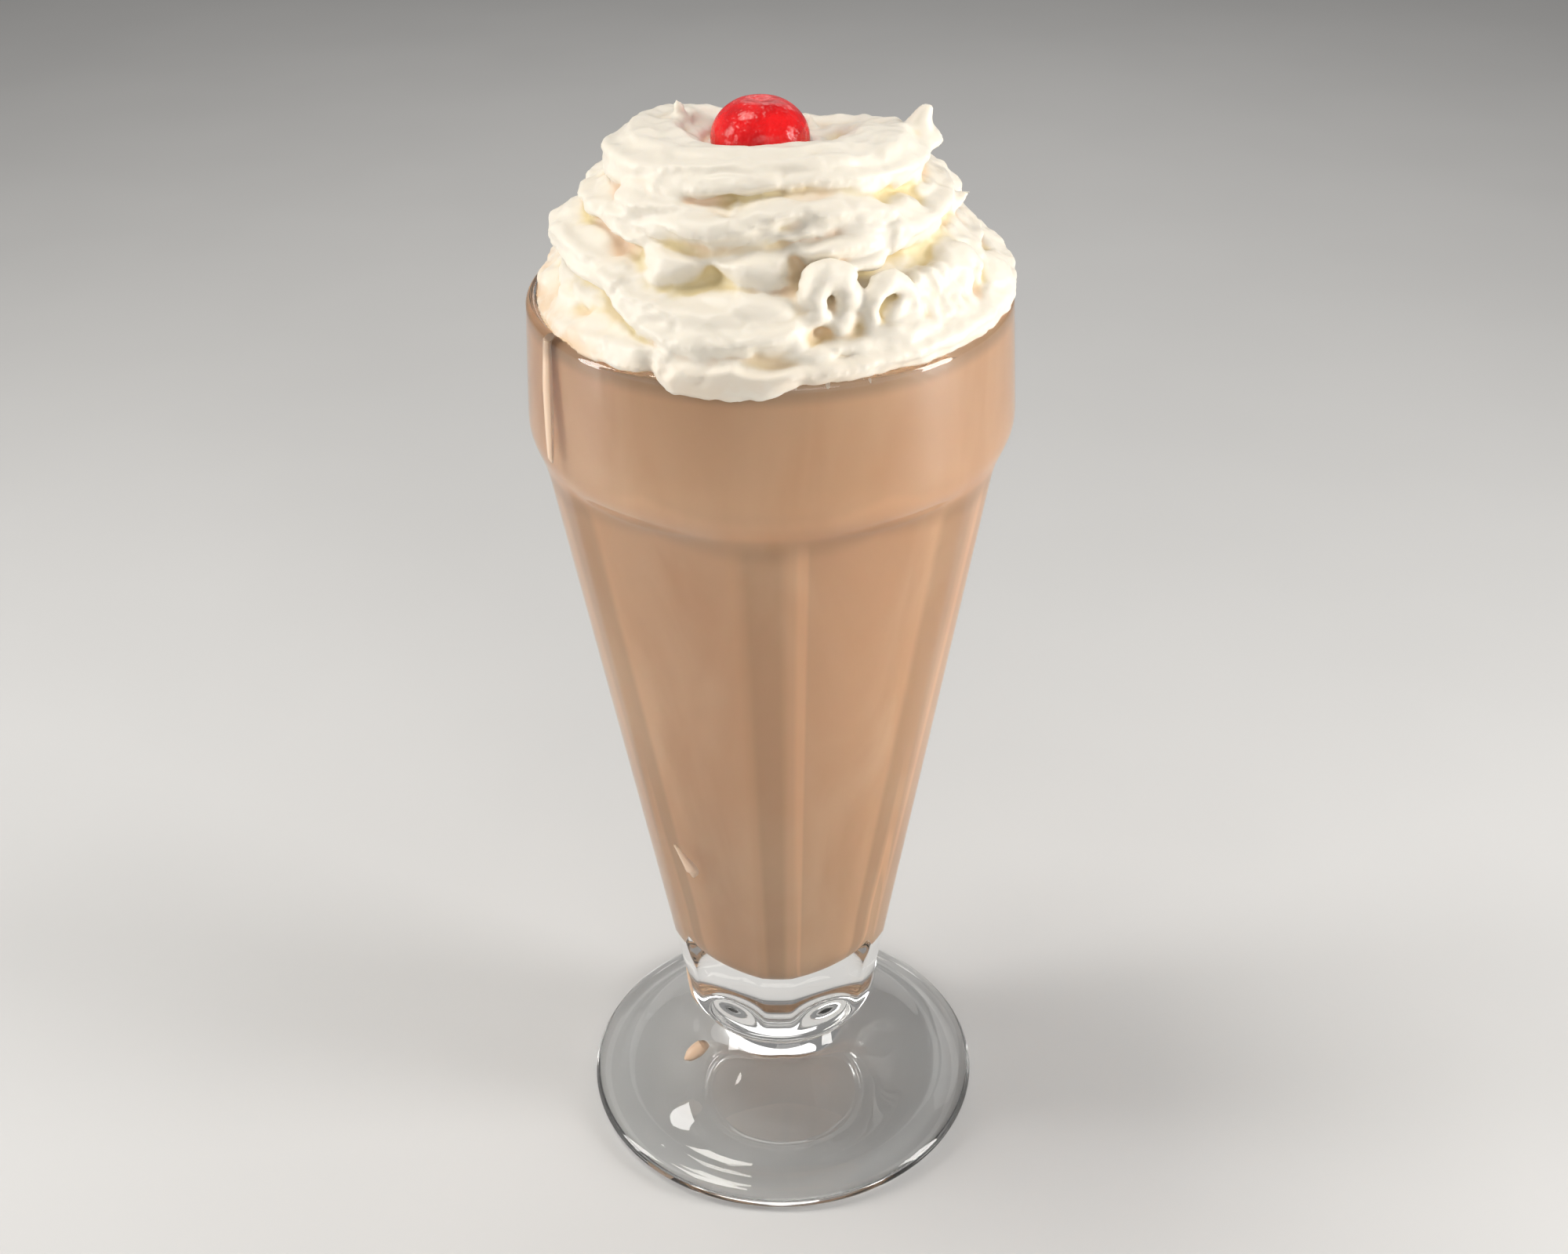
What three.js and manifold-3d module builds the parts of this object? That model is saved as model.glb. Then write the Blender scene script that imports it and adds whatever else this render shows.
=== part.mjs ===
import * as THREE from "three";
import { mergeVertices } from "three/addons/utils/BufferGeometryUtils.js";
import Module from "manifold-3d";

// A footed soda fountain glass of milkshake, topped with whipped cream and a cherry.
// Millimetres, +Z up. The origin is the middle of the foot, on the surface it stands on.
// A bearing is measured round the glass from the front (-Y), in degrees, growing towards +X.

// Glass: overall sizes
const GLASS_HEIGHT = 200;
const RIM_RADIUS = 45.1;
const BAND_RADIUS = 46.5;
const BAND_BOTTOM = 174;
const BAND_ROUNDING = 1.3;
const CREASE_HEIGHT = 167.7;
const CREASE_RISE = 2.3;
const FOOT_RADIUS = 45.4;
const LIP_THICKNESS = 2.8;

// Glass: the six flat panels of the body and the narrow ribs between them
const PANELS = 6;
const RIB_BEARING = -1.8;
const RIB_HALF_ANGLE = 7.5;
const PANEL_REACH_TOP = 41.3;
const PANEL_REACH_HEEL = 21.5;
const HEEL_TOP = 40;
const ROUND_STEPS = 48;

// Glass: inside
const CAVITY_FLOOR = 44;
const STEP_RADIUS = 41.0;
const STEP_TOP = 173.5;
const STEP_ROUNDING = 0.9;
const CAVITY_TOP_RADIUS = 38.3;
const STEP_BOTTOM = 167;
const CAVITY_LOW_RADIUS = 18.6;
const CAVITY_LOW_HEIGHT = 60;

// Milkshake and the gap that keeps touching pieces apart
const FILL_HEIGHT = 198;
const GAP = 0.3;

// Cherry, sunk into the middle of the cream
const CHERRY_RADIUS = 8.9;
const CHERRY_HALF_HEIGHT = 7.5;
const CHERRY_CENTRE = new THREE.Vector3(-1.3, 0, 227.4);

// Whipped cream
const CREAM_REACH = 46.4;
const CREAM_FLOOR = FILL_HEIGHT + GAP;
const CREAM_CEILING = 240;

const group = new THREE.Group();
const wasm = await Module();
wasm.setup();

// Turns a bearing, a distance from the axis and a height into a point.
function place(bearing, radius, height) {
  const angle = THREE.MathUtils.degToRad(bearing);
  return new THREE.Vector3(
    radius * Math.sin(angle),
    -radius * Math.cos(angle),
    height,
  );
}

// Distance from the axis to the panelled body, where a panel is at distance 1. The ribs
// are what the flat panels leave of a round body. The angle is measured from a rib.
function panelShape(degreesFromRib) {
  const halfPanel = 180 / PANELS;
  const turn = THREE.MathUtils.euclideanModulo(degreesFromRib, 2 * halfPanel);
  const fromFlat = Math.min(Math.abs(turn - halfPanel), halfPanel - RIB_HALF_ANGLE);
  return 1 / Math.cos(THREE.MathUtils.degToRad(fromFlat));
}

// One ring of points. A round ring has a radius only. A panelled ring gives the
// distance of its flats, and its ribs lie higher by the rise.
function ring({ radius, height, flats = 0, rise = 0 }) {
  const ribShape = panelShape(0);
  const points = [];
  for (let step = 0; step < ROUND_STEPS; step += 1) {
    const turn = (360 * step) / ROUND_STEPS;
    const shape = panelShape(turn);
    const reach = flats > 0 ? flats * shape : radius;
    const lift = (rise * (shape - 1)) / (ribShape - 1);
    points.push(place(RIB_BEARING + turn, reach, height + lift));
  }
  return points;
}

// Closed surface through a stack of rings, from a bottom pole to a top pole.
function loft(bottomPole, rings, topPole) {
  const count = rings[0].length;
  const points = [bottomPole, ...rings.flat(), topPole];
  const faces = [];
  const at = (level, step) => 1 + level * count + (step % count);
  for (let step = 0; step < count; step += 1) {
    faces.push(0, at(0, step + 1), at(0, step));
    for (let level = 0; level < rings.length - 1; level += 1) {
      faces.push(at(level, step), at(level, step + 1), at(level + 1, step + 1));
      faces.push(at(level, step), at(level + 1, step + 1), at(level + 1, step));
    }
    faces.push(points.length - 1, at(rings.length - 1, step), at(rings.length - 1, step + 1));
  }
  const geometry = new THREE.BufferGeometry().setFromPoints(points);
  geometry.setIndex(faces);
  return geometry;
}

// Points of a circular arc in a profile, as [radius, height] pairs, both ends included.
function arc(centreRadius, centreHeight, size, fromDegrees, toDegrees, steps) {
  const points = [];
  for (let step = 0; step <= steps; step += 1) {
    const angle = THREE.MathUtils.degToRad(
      fromDegrees + ((toDegrees - fromDegrees) * step) / steps,
    );
    points.push([
      centreRadius + size * Math.cos(angle),
      centreHeight + size * Math.sin(angle),
    ]);
  }
  return points;
}

const roundRings = (profile) => profile.map(([radius, height]) => ring({ radius, height }));

// Foot: a slightly hollow underside, a flat ring to stand on, a rounded edge, a flat
// flange, and a low dome that runs up to the short neck.
const UNDERSIDE_CENTRE = 3.2;
const REST_RING_INNER = 39.5;
const REST_RING_OUTER = 43.2;
const FOOT_EDGE_SIZE = 2.3;
const FLANGE_INNER = 38.0;
const FLANGE_OUTER = 41.5;
const FLANGE_TOP = 5.0;
const DOME_FOOT_RADIUS = 36.2;
const DOME_FOOT_HEIGHT = 5.9;
const NECK_RADIUS = 13.0;
const NECK_HEIGHT = 22.4;

function footProfile() {
  const underside = [
    [30, 2.4],
    [REST_RING_INNER - 1.1, 1.3],
    [REST_RING_INNER, 0],
    [REST_RING_OUTER, 0],
  ];
  const edgeFrom = -50;
  const edgeTo = 75;
  const edgeCentre = FOOT_RADIUS - FOOT_EDGE_SIZE;
  const edge = arc(edgeCentre, FOOT_EDGE_SIZE + 0.1, FOOT_EDGE_SIZE, edgeFrom, edgeTo, 4);
  const dome = [
    [FLANGE_OUTER, FLANGE_TOP],
    [FLANGE_INNER, FLANGE_TOP + 0.1],
    [DOME_FOOT_RADIUS, DOME_FOOT_HEIGHT],
    [32, 9.0],
    [25, 13.2],
    [18, 16.9],
    [14.4, 19.6],
    [NECK_RADIUS, NECK_HEIGHT],
  ];
  return [...underside, ...edge, ...dome];
}

// Heel: the solid round glass that swells out of the neck to the bottom of the panels.
const HEEL_PROFILE = [
  [14.0, 24.2],
  [16.8, 25.5],
  [19.4, 27.8],
  [21.4, 31.2],
  [22.3, 35.2],
];

function panelRings() {
  const rings = [];
  const spans = 2;
  for (let step = 0; step <= spans; step += 1) {
    const up = step / spans;
    rings.push(
      ring({
        flats: THREE.MathUtils.lerp(PANEL_REACH_HEEL, PANEL_REACH_TOP, up),
        height: THREE.MathUtils.lerp(HEEL_TOP, CREASE_HEIGHT, up),
        rise: CREASE_RISE * up,
      }),
    );
  }
  return rings;
}

// Rim: a bevel above the panels, a broad plain band, and a rounded lip.
function rimProfile() {
  const lipSize = LIP_THICKNESS / 2;
  const lip = arc(RIM_RADIUS - lipSize, GLASS_HEIGHT - lipSize, lipSize, 0, 180, 4);
  return [
    [BAND_RADIUS - BAND_ROUNDING, BAND_BOTTOM - 2],
    [BAND_RADIUS - BAND_ROUNDING / 4, BAND_BOTTOM],
    [BAND_RADIUS, BAND_BOTTOM + BAND_ROUNDING],
    ...lip,
  ];
}

// Inside wall of the glass, from the fill level down to the rounded floor. A positive
// inset draws it inwards, for what fills the glass.
function cavityProfile(inset) {
  const floorCurve = [
    [18.1 - inset, 54],
    [17.2 - inset, 50],
    [15.0 - inset, 46.8 + inset],
    [11.2 - inset, 45 + inset],
    [6, 44.2 + inset],
  ];
  return [
    [RIM_RADIUS - LIP_THICKNESS - inset, FILL_HEIGHT],
    [STEP_RADIUS - inset, STEP_TOP],
    [STEP_RADIUS - STEP_ROUNDING - inset, STEP_TOP - 3],
    [CAVITY_TOP_RADIUS - inset, STEP_BOTTOM],
    [CAVITY_LOW_RADIUS - inset, CAVITY_LOW_HEIGHT],
    ...floorCurve,
  ];
}

function makeGlassGeometry() {
  return loft(
    new THREE.Vector3(0, 0, UNDERSIDE_CENTRE),
    [
      ...roundRings(footProfile()),
      ...roundRings(HEEL_PROFILE),
      ...panelRings(),
      ...roundRings(rimProfile()),
      ...roundRings(cavityProfile(0)),
    ],
    new THREE.Vector3(0, 0, CAVITY_FLOOR),
  );
}

function makeMilkshakeGeometry() {
  return loft(
    new THREE.Vector3(0, 0, CAVITY_FLOOR + GAP),
    roundRings(cavityProfile(GAP).reverse()),
    new THREE.Vector3(0, 0, FILL_HEIGHT),
  );
}

// A closed three.js geometry as a solid for joining and cutting.
function toSolid(geometry) {
  const bare = geometry.clone();
  bare.deleteAttribute("normal");
  bare.deleteAttribute("uv");
  const merged = mergeVertices(bare, 1e-4);
  return new wasm.Manifold(
    new wasm.Mesh({
      numProp: 3,
      vertProperties: new Float32Array(merged.attributes.position.array),
      triVerts: new Uint32Array(merged.index.array),
    }),
  );
}

// A solid back as a three.js geometry.
function toGeometry(solid) {
  const mesh = solid.getMesh();
  const positions = new Float32Array(mesh.numVert * 3);
  for (let vertex = 0; vertex < mesh.numVert; vertex += 1) {
    const start = vertex * mesh.numProp;
    positions.set(mesh.vertProperties.subarray(start, start + 3), vertex * 3);
  }
  const geometry = new THREE.BufferGeometry();
  geometry.setAttribute("position", new THREE.BufferAttribute(positions, 3));
  geometry.setIndex(new THREE.BufferAttribute(new Uint32Array(mesh.triVerts), 1));
  geometry.computeVertexNormals();
  return geometry;
}

// The cream is a plain heap with ropes, folds and lumps of cream fused on to it.

// The plain heap: round rings of one radius and height each, from the floor upwards.
const HEAP_STEPS = 28;
const HEAP_PEAK = 227;
const HEAP_PROFILE = [
  [36, CREAM_FLOOR],
  [41.6, CREAM_FLOOR],
  [41, 200],
  [38.2, 206],
  [34.6, 213],
  [31, 219],
  [27, 223.5],
  [18, 226.5],
];

function heap() {
  const rings = HEAP_PROFILE.map(([radius, height]) => {
    const points = [];
    for (let step = 0; step < HEAP_STEPS; step += 1) {
      points.push(place((360 * step) / HEAP_STEPS, radius, height));
    }
    return points;
  });
  return loft(place(0, 0, CREAM_FLOOR), rings, place(0, 0, HEAP_PEAK));
}

// Tiers: four ropes that close round the heap, one above the other. A tier has one
// reach, height, half depth and half height, and swells that change them near a bearing.
const TIERS = [
  {
    steps: 36,
    reach: 45.2,
    height: 202.2,
    deep: 7.2,
    tall: 4.4,
    swells: [
      { at: -80, width: 34, reach: -2.3, height: -3, deep: -1.2, tall: -1.8 },
      { at: -8, width: 26, reach: 0.6, height: -1, deep: 0, tall: -0.5 },
    ],
  },
  {
    steps: 32,
    reach: 38.8,
    height: 208.4,
    deep: 7.8,
    tall: 4.6,
    swells: [
      { at: -76, width: 34, reach: 0.9, height: 4.8, deep: 0, tall: -0.4 },
      { at: -18, width: 34, reach: -2.2, height: 0, deep: -0.8, tall: -0.6 },
      { at: 180, width: 40, reach: 1, height: 0, deep: 0, tall: 0 },
    ],
  },
  {
    steps: 32,
    reach: 33.4,
    height: 218,
    deep: 8,
    tall: 4.2,
    swells: [
      { at: -62, width: 26, reach: 1.2, height: 1.5, deep: 0, tall: -1 },
      { at: -17, width: 15, reach: 1.4, height: -1.4, deep: -0.9, tall: -2 },
      { at: 30, width: 24, reach: 2.4, height: 1.2, deep: 0, tall: 0.4 },
      { at: 170, width: 46, reach: -0.9, height: -2.2, deep: 0, tall: 0.1 },
    ],
  },
  {
    steps: 30,
    reach: 29.6,
    height: 226,
    deep: 8.7,
    tall: 4.8,
    swells: [
      { at: 4, width: 38, reach: -1.9, height: 1.5, deep: -1.3, tall: -0.6 },
      { at: 178, width: 38, reach: -4.6, height: -5.2, deep: -0.4, tall: -0.9 },
      { at: 122, width: 34, reach: -1.5, height: -2.4, deep: 0, tall: -0.3 },
      { at: -118, width: 32, reach: -1.4, height: -0.5, deep: 0, tall: 0 },
    ],
  },
];

// How much of a swell is felt at a bearing: all of it at its middle, less to each side.
function swellShare(swell, bearing) {
  const away = THREE.MathUtils.euclideanModulo(bearing - swell.at + 180, 360) - 180;
  return Math.exp(-((away / swell.width) ** 2));
}

// Section of a tier part of the way round it.
function tierSection(tier, along) {
  const bearing = 360 * along;
  const section = { bearing };
  for (const size of ["reach", "height", "deep", "tall"]) {
    const change = tier.swells.map((swell) => swell[size] * swellShare(swell, bearing));
    section[size] = change.reduce((sum, part) => sum + part, tier[size]);
  }
  return section;
}

// Folds: open ropes, each through a few stations of
// [bearing, reach, height, half depth, half height].
const SAGGING_FLAP = {
  steps: 16,
  stations: [
    [-64, 32.6, 222.8, 4, 2],
    [-40, 33, 222.8, 4.6, 2.4],
    [-17, 34.2, 221.2, 5, 3.2],
    [3, 32.6, 223.8, 4.6, 2.5],
    [26, 31.6, 225, 4.4, 2],
    [50, 31, 224.4, 3.6, 1.6],
  ],
};
const RETURNING_FOLD = {
  steps: 14,
  stations: [
    [2, 31.8, 223, 2.4, 1.1],
    [20, 33.4, 224, 2.8, 1.4],
    [35, 34, 223.2, 2.8, 1.5],
    [41.5, 35.4, 219.8, 2.8, 1.5],
    [35, 36.6, 216.6, 2.8, 1.5],
    [24, 37, 215.6, 2.8, 1.4],
    [14, 36.2, 216.6, 2.4, 1.1],
  ],
};
const GREAT_FOLD = {
  steps: 18,
  stations: [
    [-60, 38.8, 212.4, 5, 1.8],
    [-45, 39.6, 211.8, 6, 2.4],
    [-31, 42.2, 207.2, 8, 5.2],
    [-14, 44.4, 204.8, 10, 7],
    [3, 43.8, 205.2, 9, 6.4],
    [16, 41, 206.6, 6, 3.8],
  ],
};

// Short ropes side by side at the right front, each running down the heap.
const GROOVES = { count: 4, bearing: 42, spacing: 4.4, slant: 3, high: 213, low: 203.6 };

function grooveFold(index) {
  const { bearing, spacing, slant, high, low } = GROOVES;
  const middle = bearing + index * spacing;
  return {
    steps: 6,
    stations: [
      [middle - slant / 2, 38.8, high, 2.4, 1.4],
      [middle, 40.9, (high + low) / 2, 2.6, 1.6],
      [middle + slant / 2, 43.6, low, 2.4, 1.4],
    ],
  };
}

// Section of a fold part of the way along it. It tapers to a rounded end.
function foldSection(fold, along) {
  const endShare = 0.14;
  const route = fold.stations.map((station) => new THREE.Vector3(...station.slice(0, 3)));
  const sizes = fold.stations.map(([, , , deep, tall]) => new THREE.Vector3(deep, tall, 0));
  const spot = new THREE.CatmullRomCurve3(route).getPoint(along);
  const size = new THREE.CatmullRomCurve3(sizes).getPoint(along);
  const fromEnd = Math.min(along, 1 - along);
  const taper = Math.sqrt(Math.min(1, fromEnd / endShare));
  return {
    bearing: spot.x,
    reach: spot.y - size.x * (1 - taper),
    height: spot.z,
    deep: size.x * taper,
    tall: size.y * taper,
  };
}

// Ring of points round one section of a rope, square to the way the rope runs.
function ropeRing(sectionAt, along) {
  const sides = 10;
  const nudge = 0.004;
  const middle = ({ bearing, reach, deep, height }) => place(bearing, reach - deep, height);
  const { deep, tall, ...spot } = sectionAt(along);
  const centre = middle({ deep, ...spot });
  const ahead = middle(sectionAt(along + nudge));
  const tangent = ahead.sub(middle(sectionAt(along - nudge))).normalize();
  const outward = centre.clone().setZ(0).normalize();
  const upward = outward.cross(tangent).normalize();
  const side = tangent.cross(upward).normalize();
  const points = [];
  for (let corner = 0; corner < sides; corner += 1) {
    const angle = (2 * Math.PI * corner) / sides;
    const point = centre.clone().addScaledVector(side, deep * Math.cos(angle));
    points.push(point.addScaledVector(upward, -tall * Math.sin(angle)));
  }
  return points;
}

function closedRope(tier) {
  const rings = [];
  for (let step = 0; step < tier.steps; step += 1) {
    rings.push(ropeRing((along) => tierSection(tier, along), step / tier.steps));
  }
  return closedLoft(rings);
}

function openRope(fold) {
  const sectionAt = (along) => foldSection(fold, THREE.MathUtils.clamp(along, 0, 1));
  const endPoint = ({ bearing, reach, height }) => place(bearing, reach, height);
  const rings = [];
  for (let step = 1; step < fold.steps; step += 1) {
    rings.push(ropeRing(sectionAt, step / fold.steps));
  }
  return loft(endPoint(sectionAt(0)), rings, endPoint(sectionAt(1)));
}

// Closed surface through rings that run round in a loop.
function closedLoft(rings) {
  const count = rings[0].length;
  const faces = [];
  const at = (level, step) => (level % rings.length) * count + (step % count);
  for (let level = 0; level < rings.length; level += 1) {
    for (let step = 0; step < count; step += 1) {
      faces.push(at(level, step), at(level, step + 1), at(level + 1, step + 1));
      faces.push(at(level, step), at(level + 1, step + 1), at(level + 1, step));
    }
  }
  const geometry = new THREE.BufferGeometry().setFromPoints(rings.flat());
  geometry.setIndex(faces);
  return geometry;
}

// Lumps: the tongue that hangs over the lip at the front, then round lobes and bumps.
const LUMPS = [
  { bearing: -10, radius: 40.4, height: 200.2, wide: 14, deep: 6.4, tall: 4.6 },
  { bearing: -4, radius: 35, height: 208, wide: 14, deep: 6.2, tall: 5 },
  { bearing: -80, radius: 30.8, height: 213.6, wide: 9, deep: 8.8, tall: 5 },
  { bearing: -88, radius: 37.2, height: 201, wide: 6, deep: 5, tall: 4 },
  { bearing: -66, radius: 36.6, height: 202.4, wide: 7, deep: 5, tall: 3.8 },
  { bearing: -47, radius: 38, height: 202, wide: 6, deep: 5, tall: 3.4 },
  { bearing: 76, radius: 38.2, height: 203.8, wide: 8, deep: 6.8, tall: 5 },
  { bearing: 60, radius: 35.4, height: 208.6, wide: 7.5, deep: 6.4, tall: 5.4 },
  { bearing: 32, radius: 38, height: 204, wide: 9, deep: 6.4, tall: 4 },
  { bearing: -29, radius: 33, height: 214.6, wide: 4, deep: 4.4, tall: 2.6 },
  { bearing: -4, radius: 32.6, height: 216, wide: 4.6, deep: 3.8, tall: 2.8 },
  { bearing: 158, radius: 33, height: 209, wide: 12, deep: 8, tall: 7 },
  { bearing: -142, radius: 31, height: 212, wide: 10, deep: 7, tall: 6 },
  { bearing: 116, radius: 32, height: 213, wide: 9, deep: 7, tall: 6 },
];

// Turns a shape to its bearing and moves it to its place in the heap.
function settle(geometry, { bearing, radius, height }) {
  geometry.rotateZ(THREE.MathUtils.degToRad(bearing));
  const spot = place(bearing, radius, height);
  return geometry.translate(spot.x, spot.y, spot.z);
}

function lump(shape) {
  const geometry = new THREE.SphereGeometry(1, 9, 6);
  geometry.rotateX(Math.PI / 2);
  geometry.scale(shape.wide, shape.deep, shape.tall);
  return settle(geometry, shape);
}

// Curls: hooked ends of thin rope that stand out of the heap, taller than they are wide.
const CURLS = [
  { bearing: 15.5, radius: 37.6, height: 211.8, size: 3.1, rise: 4.8, thick: 1.8, from: -60, to: 225 },
  { bearing: 32, radius: 39.2, height: 208.8, size: 4, rise: 4.2, thick: 1.3, from: -20, to: 195 },
  { bearing: 33, radius: 39.6, height: 207.8, size: 1.7, rise: 2, thick: 0.9, from: -20, to: 200 },
  { bearing: 33.5, radius: 42, height: 202.6, size: 2.8, rise: 2.6, thick: 1.1, from: -10, to: 190 },
];

function curl(shape) {
  const bends = 6;
  const front = -1.4;
  const rooted = 4;
  const points = [];
  for (let step = 0; step <= bends; step += 1) {
    const angle = THREE.MathUtils.degToRad(
      THREE.MathUtils.lerp(shape.from, shape.to, step / bends),
    );
    points.push(
      new THREE.Vector3(shape.size * Math.cos(angle), front, shape.rise * Math.sin(angle)),
    );
  }
  points.unshift(points[0].clone().setY(rooted));
  points.push(points[points.length - 1].clone().setY(rooted));
  const section = new THREE.Shape();
  section.absarc(0, 0, shape.thick, 0, 2 * Math.PI, false);
  const geometry = new THREE.ExtrudeGeometry(section, {
    extrudePath: new THREE.CatmullRomCurve3(points),
    steps: 11,
    curveSegments: 3,
    bevelEnabled: false,
  });
  return settle(geometry, shape);
}

// Peaks: pulled-up points left where a rope was torn off. Each leans outwards.
const PEAKS = [
  { bearing: -108, radius: 16.4, height: 227, rise: 5.6, wide: 2.6, lean: 0.6 },
  { bearing: 142, radius: 11.8, height: 224, rise: 4.8, wide: 3.2, lean: 0 },
  { bearing: 92, radius: 26.6, height: 226.4, rise: 6, wide: 4.2, lean: 1.6 },
  { bearing: 86, radius: 32.4, height: 215, rise: 3, wide: 3, lean: 3.6 },
  { bearing: -74, radius: 21, height: 227, rise: 4.4, wide: 4.6, lean: 0.6 },
];

function peak(shape) {
  const { rise, wide, lean } = shape;
  const levels = 4;
  const tip = 0.45;
  const profile = [new THREE.Vector2(0, 0)];
  for (let level = 0; level < levels; level += 1) {
    const up = level / levels;
    profile.push(new THREE.Vector2(tip + wide * (1 - up) ** 1.3, rise * up));
  }
  profile.push(new THREE.Vector2(0, rise));
  const geometry = new THREE.LatheGeometry(profile, 8);
  geometry.rotateX(Math.PI / 2);
  const position = geometry.attributes.position;
  for (let vertex = 0; vertex < position.count; vertex += 1) {
    const up = position.getZ(vertex) / rise;
    position.setY(vertex, position.getY(vertex) - lean * up ** 2);
  }
  return settle(geometry, shape);
}

// Hollows sunk into the heap.
const HOLLOWS = [
  { bearing: 36, radius: 36.6, height: 215.6, wide: 3.2, deep: 3, tall: 2 },
  { bearing: -38, radius: 36.4, height: 215.2, wide: 4, deep: 3, tall: 2 },
  { bearing: -51, radius: 36.8, height: 215, wide: 2.6, deep: 2.6, tall: 2 },
  { bearing: -17, radius: 37, height: 214, wide: 6.4, deep: 3.6, tall: 2.6 },
  { bearing: 7, radius: 36, height: 216.6, wide: 2.6, deep: 3, tall: 3.2 },
  { bearing: 16.4, radius: 43.6, height: 203.4, wide: 2.6, deep: 2.6, tall: 1.1 },
  { bearing: 12.5, radius: 42, height: 206.4, wide: 1.5, deep: 2.4, tall: 1.6 },
  { bearing: 61, radius: 40.6, height: 208, wide: 1.1, deep: 2.4, tall: 3 },
  { bearing: 60, radius: 33, height: 221.4, wide: 2.4, deep: 2.6, tall: 1.7 },
];

// Cherry: a round fruit, a little flatter than a ball. An inflated one shapes its hollow.
function makeCherryGeometry(extra) {
  const geometry = new THREE.SphereGeometry(1, 20, 12);
  const radius = CHERRY_RADIUS + extra;
  geometry.rotateX(Math.PI / 2);
  geometry.scale(radius, radius, CHERRY_HALF_HEIGHT + extra);
  return geometry.translate(CHERRY_CENTRE.x, CHERRY_CENTRE.y, CHERRY_CENTRE.z);
}

function latheAboutZ(profile) {
  const points = profile.map(([radius, height]) => new THREE.Vector2(radius, height));
  return new THREE.LatheGeometry(points, ROUND_STEPS).rotateX(Math.PI / 2);
}

// The same solid without the closed bubbles left between its ropes.
function withoutBubbles(solid) {
  const shells = solid.decompose();
  return shells.reduce((largest, shell) => (shell.volume() > largest.volume() ? shell : largest));
}

// The lip of the glass, thicker all round by the gap.
function lipCutter() {
  const lipSize = LIP_THICKNESS / 2;
  const inner = RIM_RADIUS - LIP_THICKNESS - GAP;
  const below = CREAM_FLOOR - 4;
  const over = arc(RIM_RADIUS - lipSize, GLASS_HEIGHT - lipSize, lipSize + GAP, 0, 180, 6);
  return latheAboutZ([[inner, below], [BAND_RADIUS, below], ...over, [inner, below]]);
}

// The room that cream may fill: a drum from its floor up, out to its widest reach.
function creamRoom() {
  return latheAboutZ([
    [0, CREAM_FLOOR],
    [CREAM_REACH, CREAM_FLOOR],
    [CREAM_REACH, CREAM_CEILING],
    [0, CREAM_CEILING],
  ]);
}

function makeCreamGeometry() {
  const grooves = Array.from({ length: GROOVES.count }, (_, index) => grooveFold(index));
  const shapes = [
    ...TIERS.map(closedRope),
    ...[SAGGING_FLAP, RETURNING_FOLD, GREAT_FOLD, ...grooves].map(openRope),
    ...LUMPS.map(lump),
    ...CURLS.map(curl),
    ...PEAKS.map(peak),
  ];
  let cream = toSolid(heap());
  for (const shape of shapes) {
    cream = cream.add(toSolid(shape));
  }
  for (const hollow of HOLLOWS) {
    cream = cream.subtract(toSolid(lump(hollow)));
  }
  cream = cream
    .intersect(toSolid(creamRoom()))
    .subtract(toSolid(lipCutter()))
    .subtract(toSolid(makeCherryGeometry(GAP)));
  return toGeometry(withoutBubbles(cream));
}

function addPiece(name, geometry, material) {
  const mesh = new THREE.Mesh(geometry, new THREE.MeshStandardMaterial(material));
  mesh.name = name;
  group.add(mesh);
}

addPiece("glass", makeGlassGeometry(), { color: 0xdfe6e4, roughness: 0.05, metalness: 0 });
addPiece("milkshake", makeMilkshakeGeometry(), { color: 0xc69b7b, roughness: 0.4, metalness: 0 });
addPiece("whipped_cream", makeCreamGeometry(), { color: 0xf6f0e2, roughness: 0.5, metalness: 0 });
addPiece("cherry", makeCherryGeometry(0), { color: 0xd4140f, roughness: 0.2, metalness: 0 });

export default group;
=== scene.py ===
import logging
import math
from dataclasses import astuple, dataclass
from enum import Enum
from typing import Iterable, Sequence

import bmesh
import bpy
import numpy as np
from mathutils import Matrix, Vector


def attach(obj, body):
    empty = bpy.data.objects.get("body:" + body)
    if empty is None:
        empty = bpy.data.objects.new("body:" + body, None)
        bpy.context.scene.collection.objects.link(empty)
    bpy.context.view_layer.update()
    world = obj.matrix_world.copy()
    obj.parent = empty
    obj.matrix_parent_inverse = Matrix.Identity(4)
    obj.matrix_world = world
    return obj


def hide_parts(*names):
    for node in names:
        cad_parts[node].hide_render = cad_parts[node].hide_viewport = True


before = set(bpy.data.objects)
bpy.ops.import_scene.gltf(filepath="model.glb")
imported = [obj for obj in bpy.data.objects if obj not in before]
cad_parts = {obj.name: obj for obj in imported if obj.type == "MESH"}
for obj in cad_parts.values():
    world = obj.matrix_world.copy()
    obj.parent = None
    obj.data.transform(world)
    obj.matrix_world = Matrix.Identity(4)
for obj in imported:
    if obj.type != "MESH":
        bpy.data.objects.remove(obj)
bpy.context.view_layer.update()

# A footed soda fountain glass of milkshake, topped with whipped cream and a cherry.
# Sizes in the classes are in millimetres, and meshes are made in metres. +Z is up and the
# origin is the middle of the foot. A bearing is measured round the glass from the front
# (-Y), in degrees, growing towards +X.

LOG = logging.getLogger("milkshake")
MM = 0.001
BODY = "root"
Colour = tuple[float, float, float]
Span = tuple[float, float]


# Node trees


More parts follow.
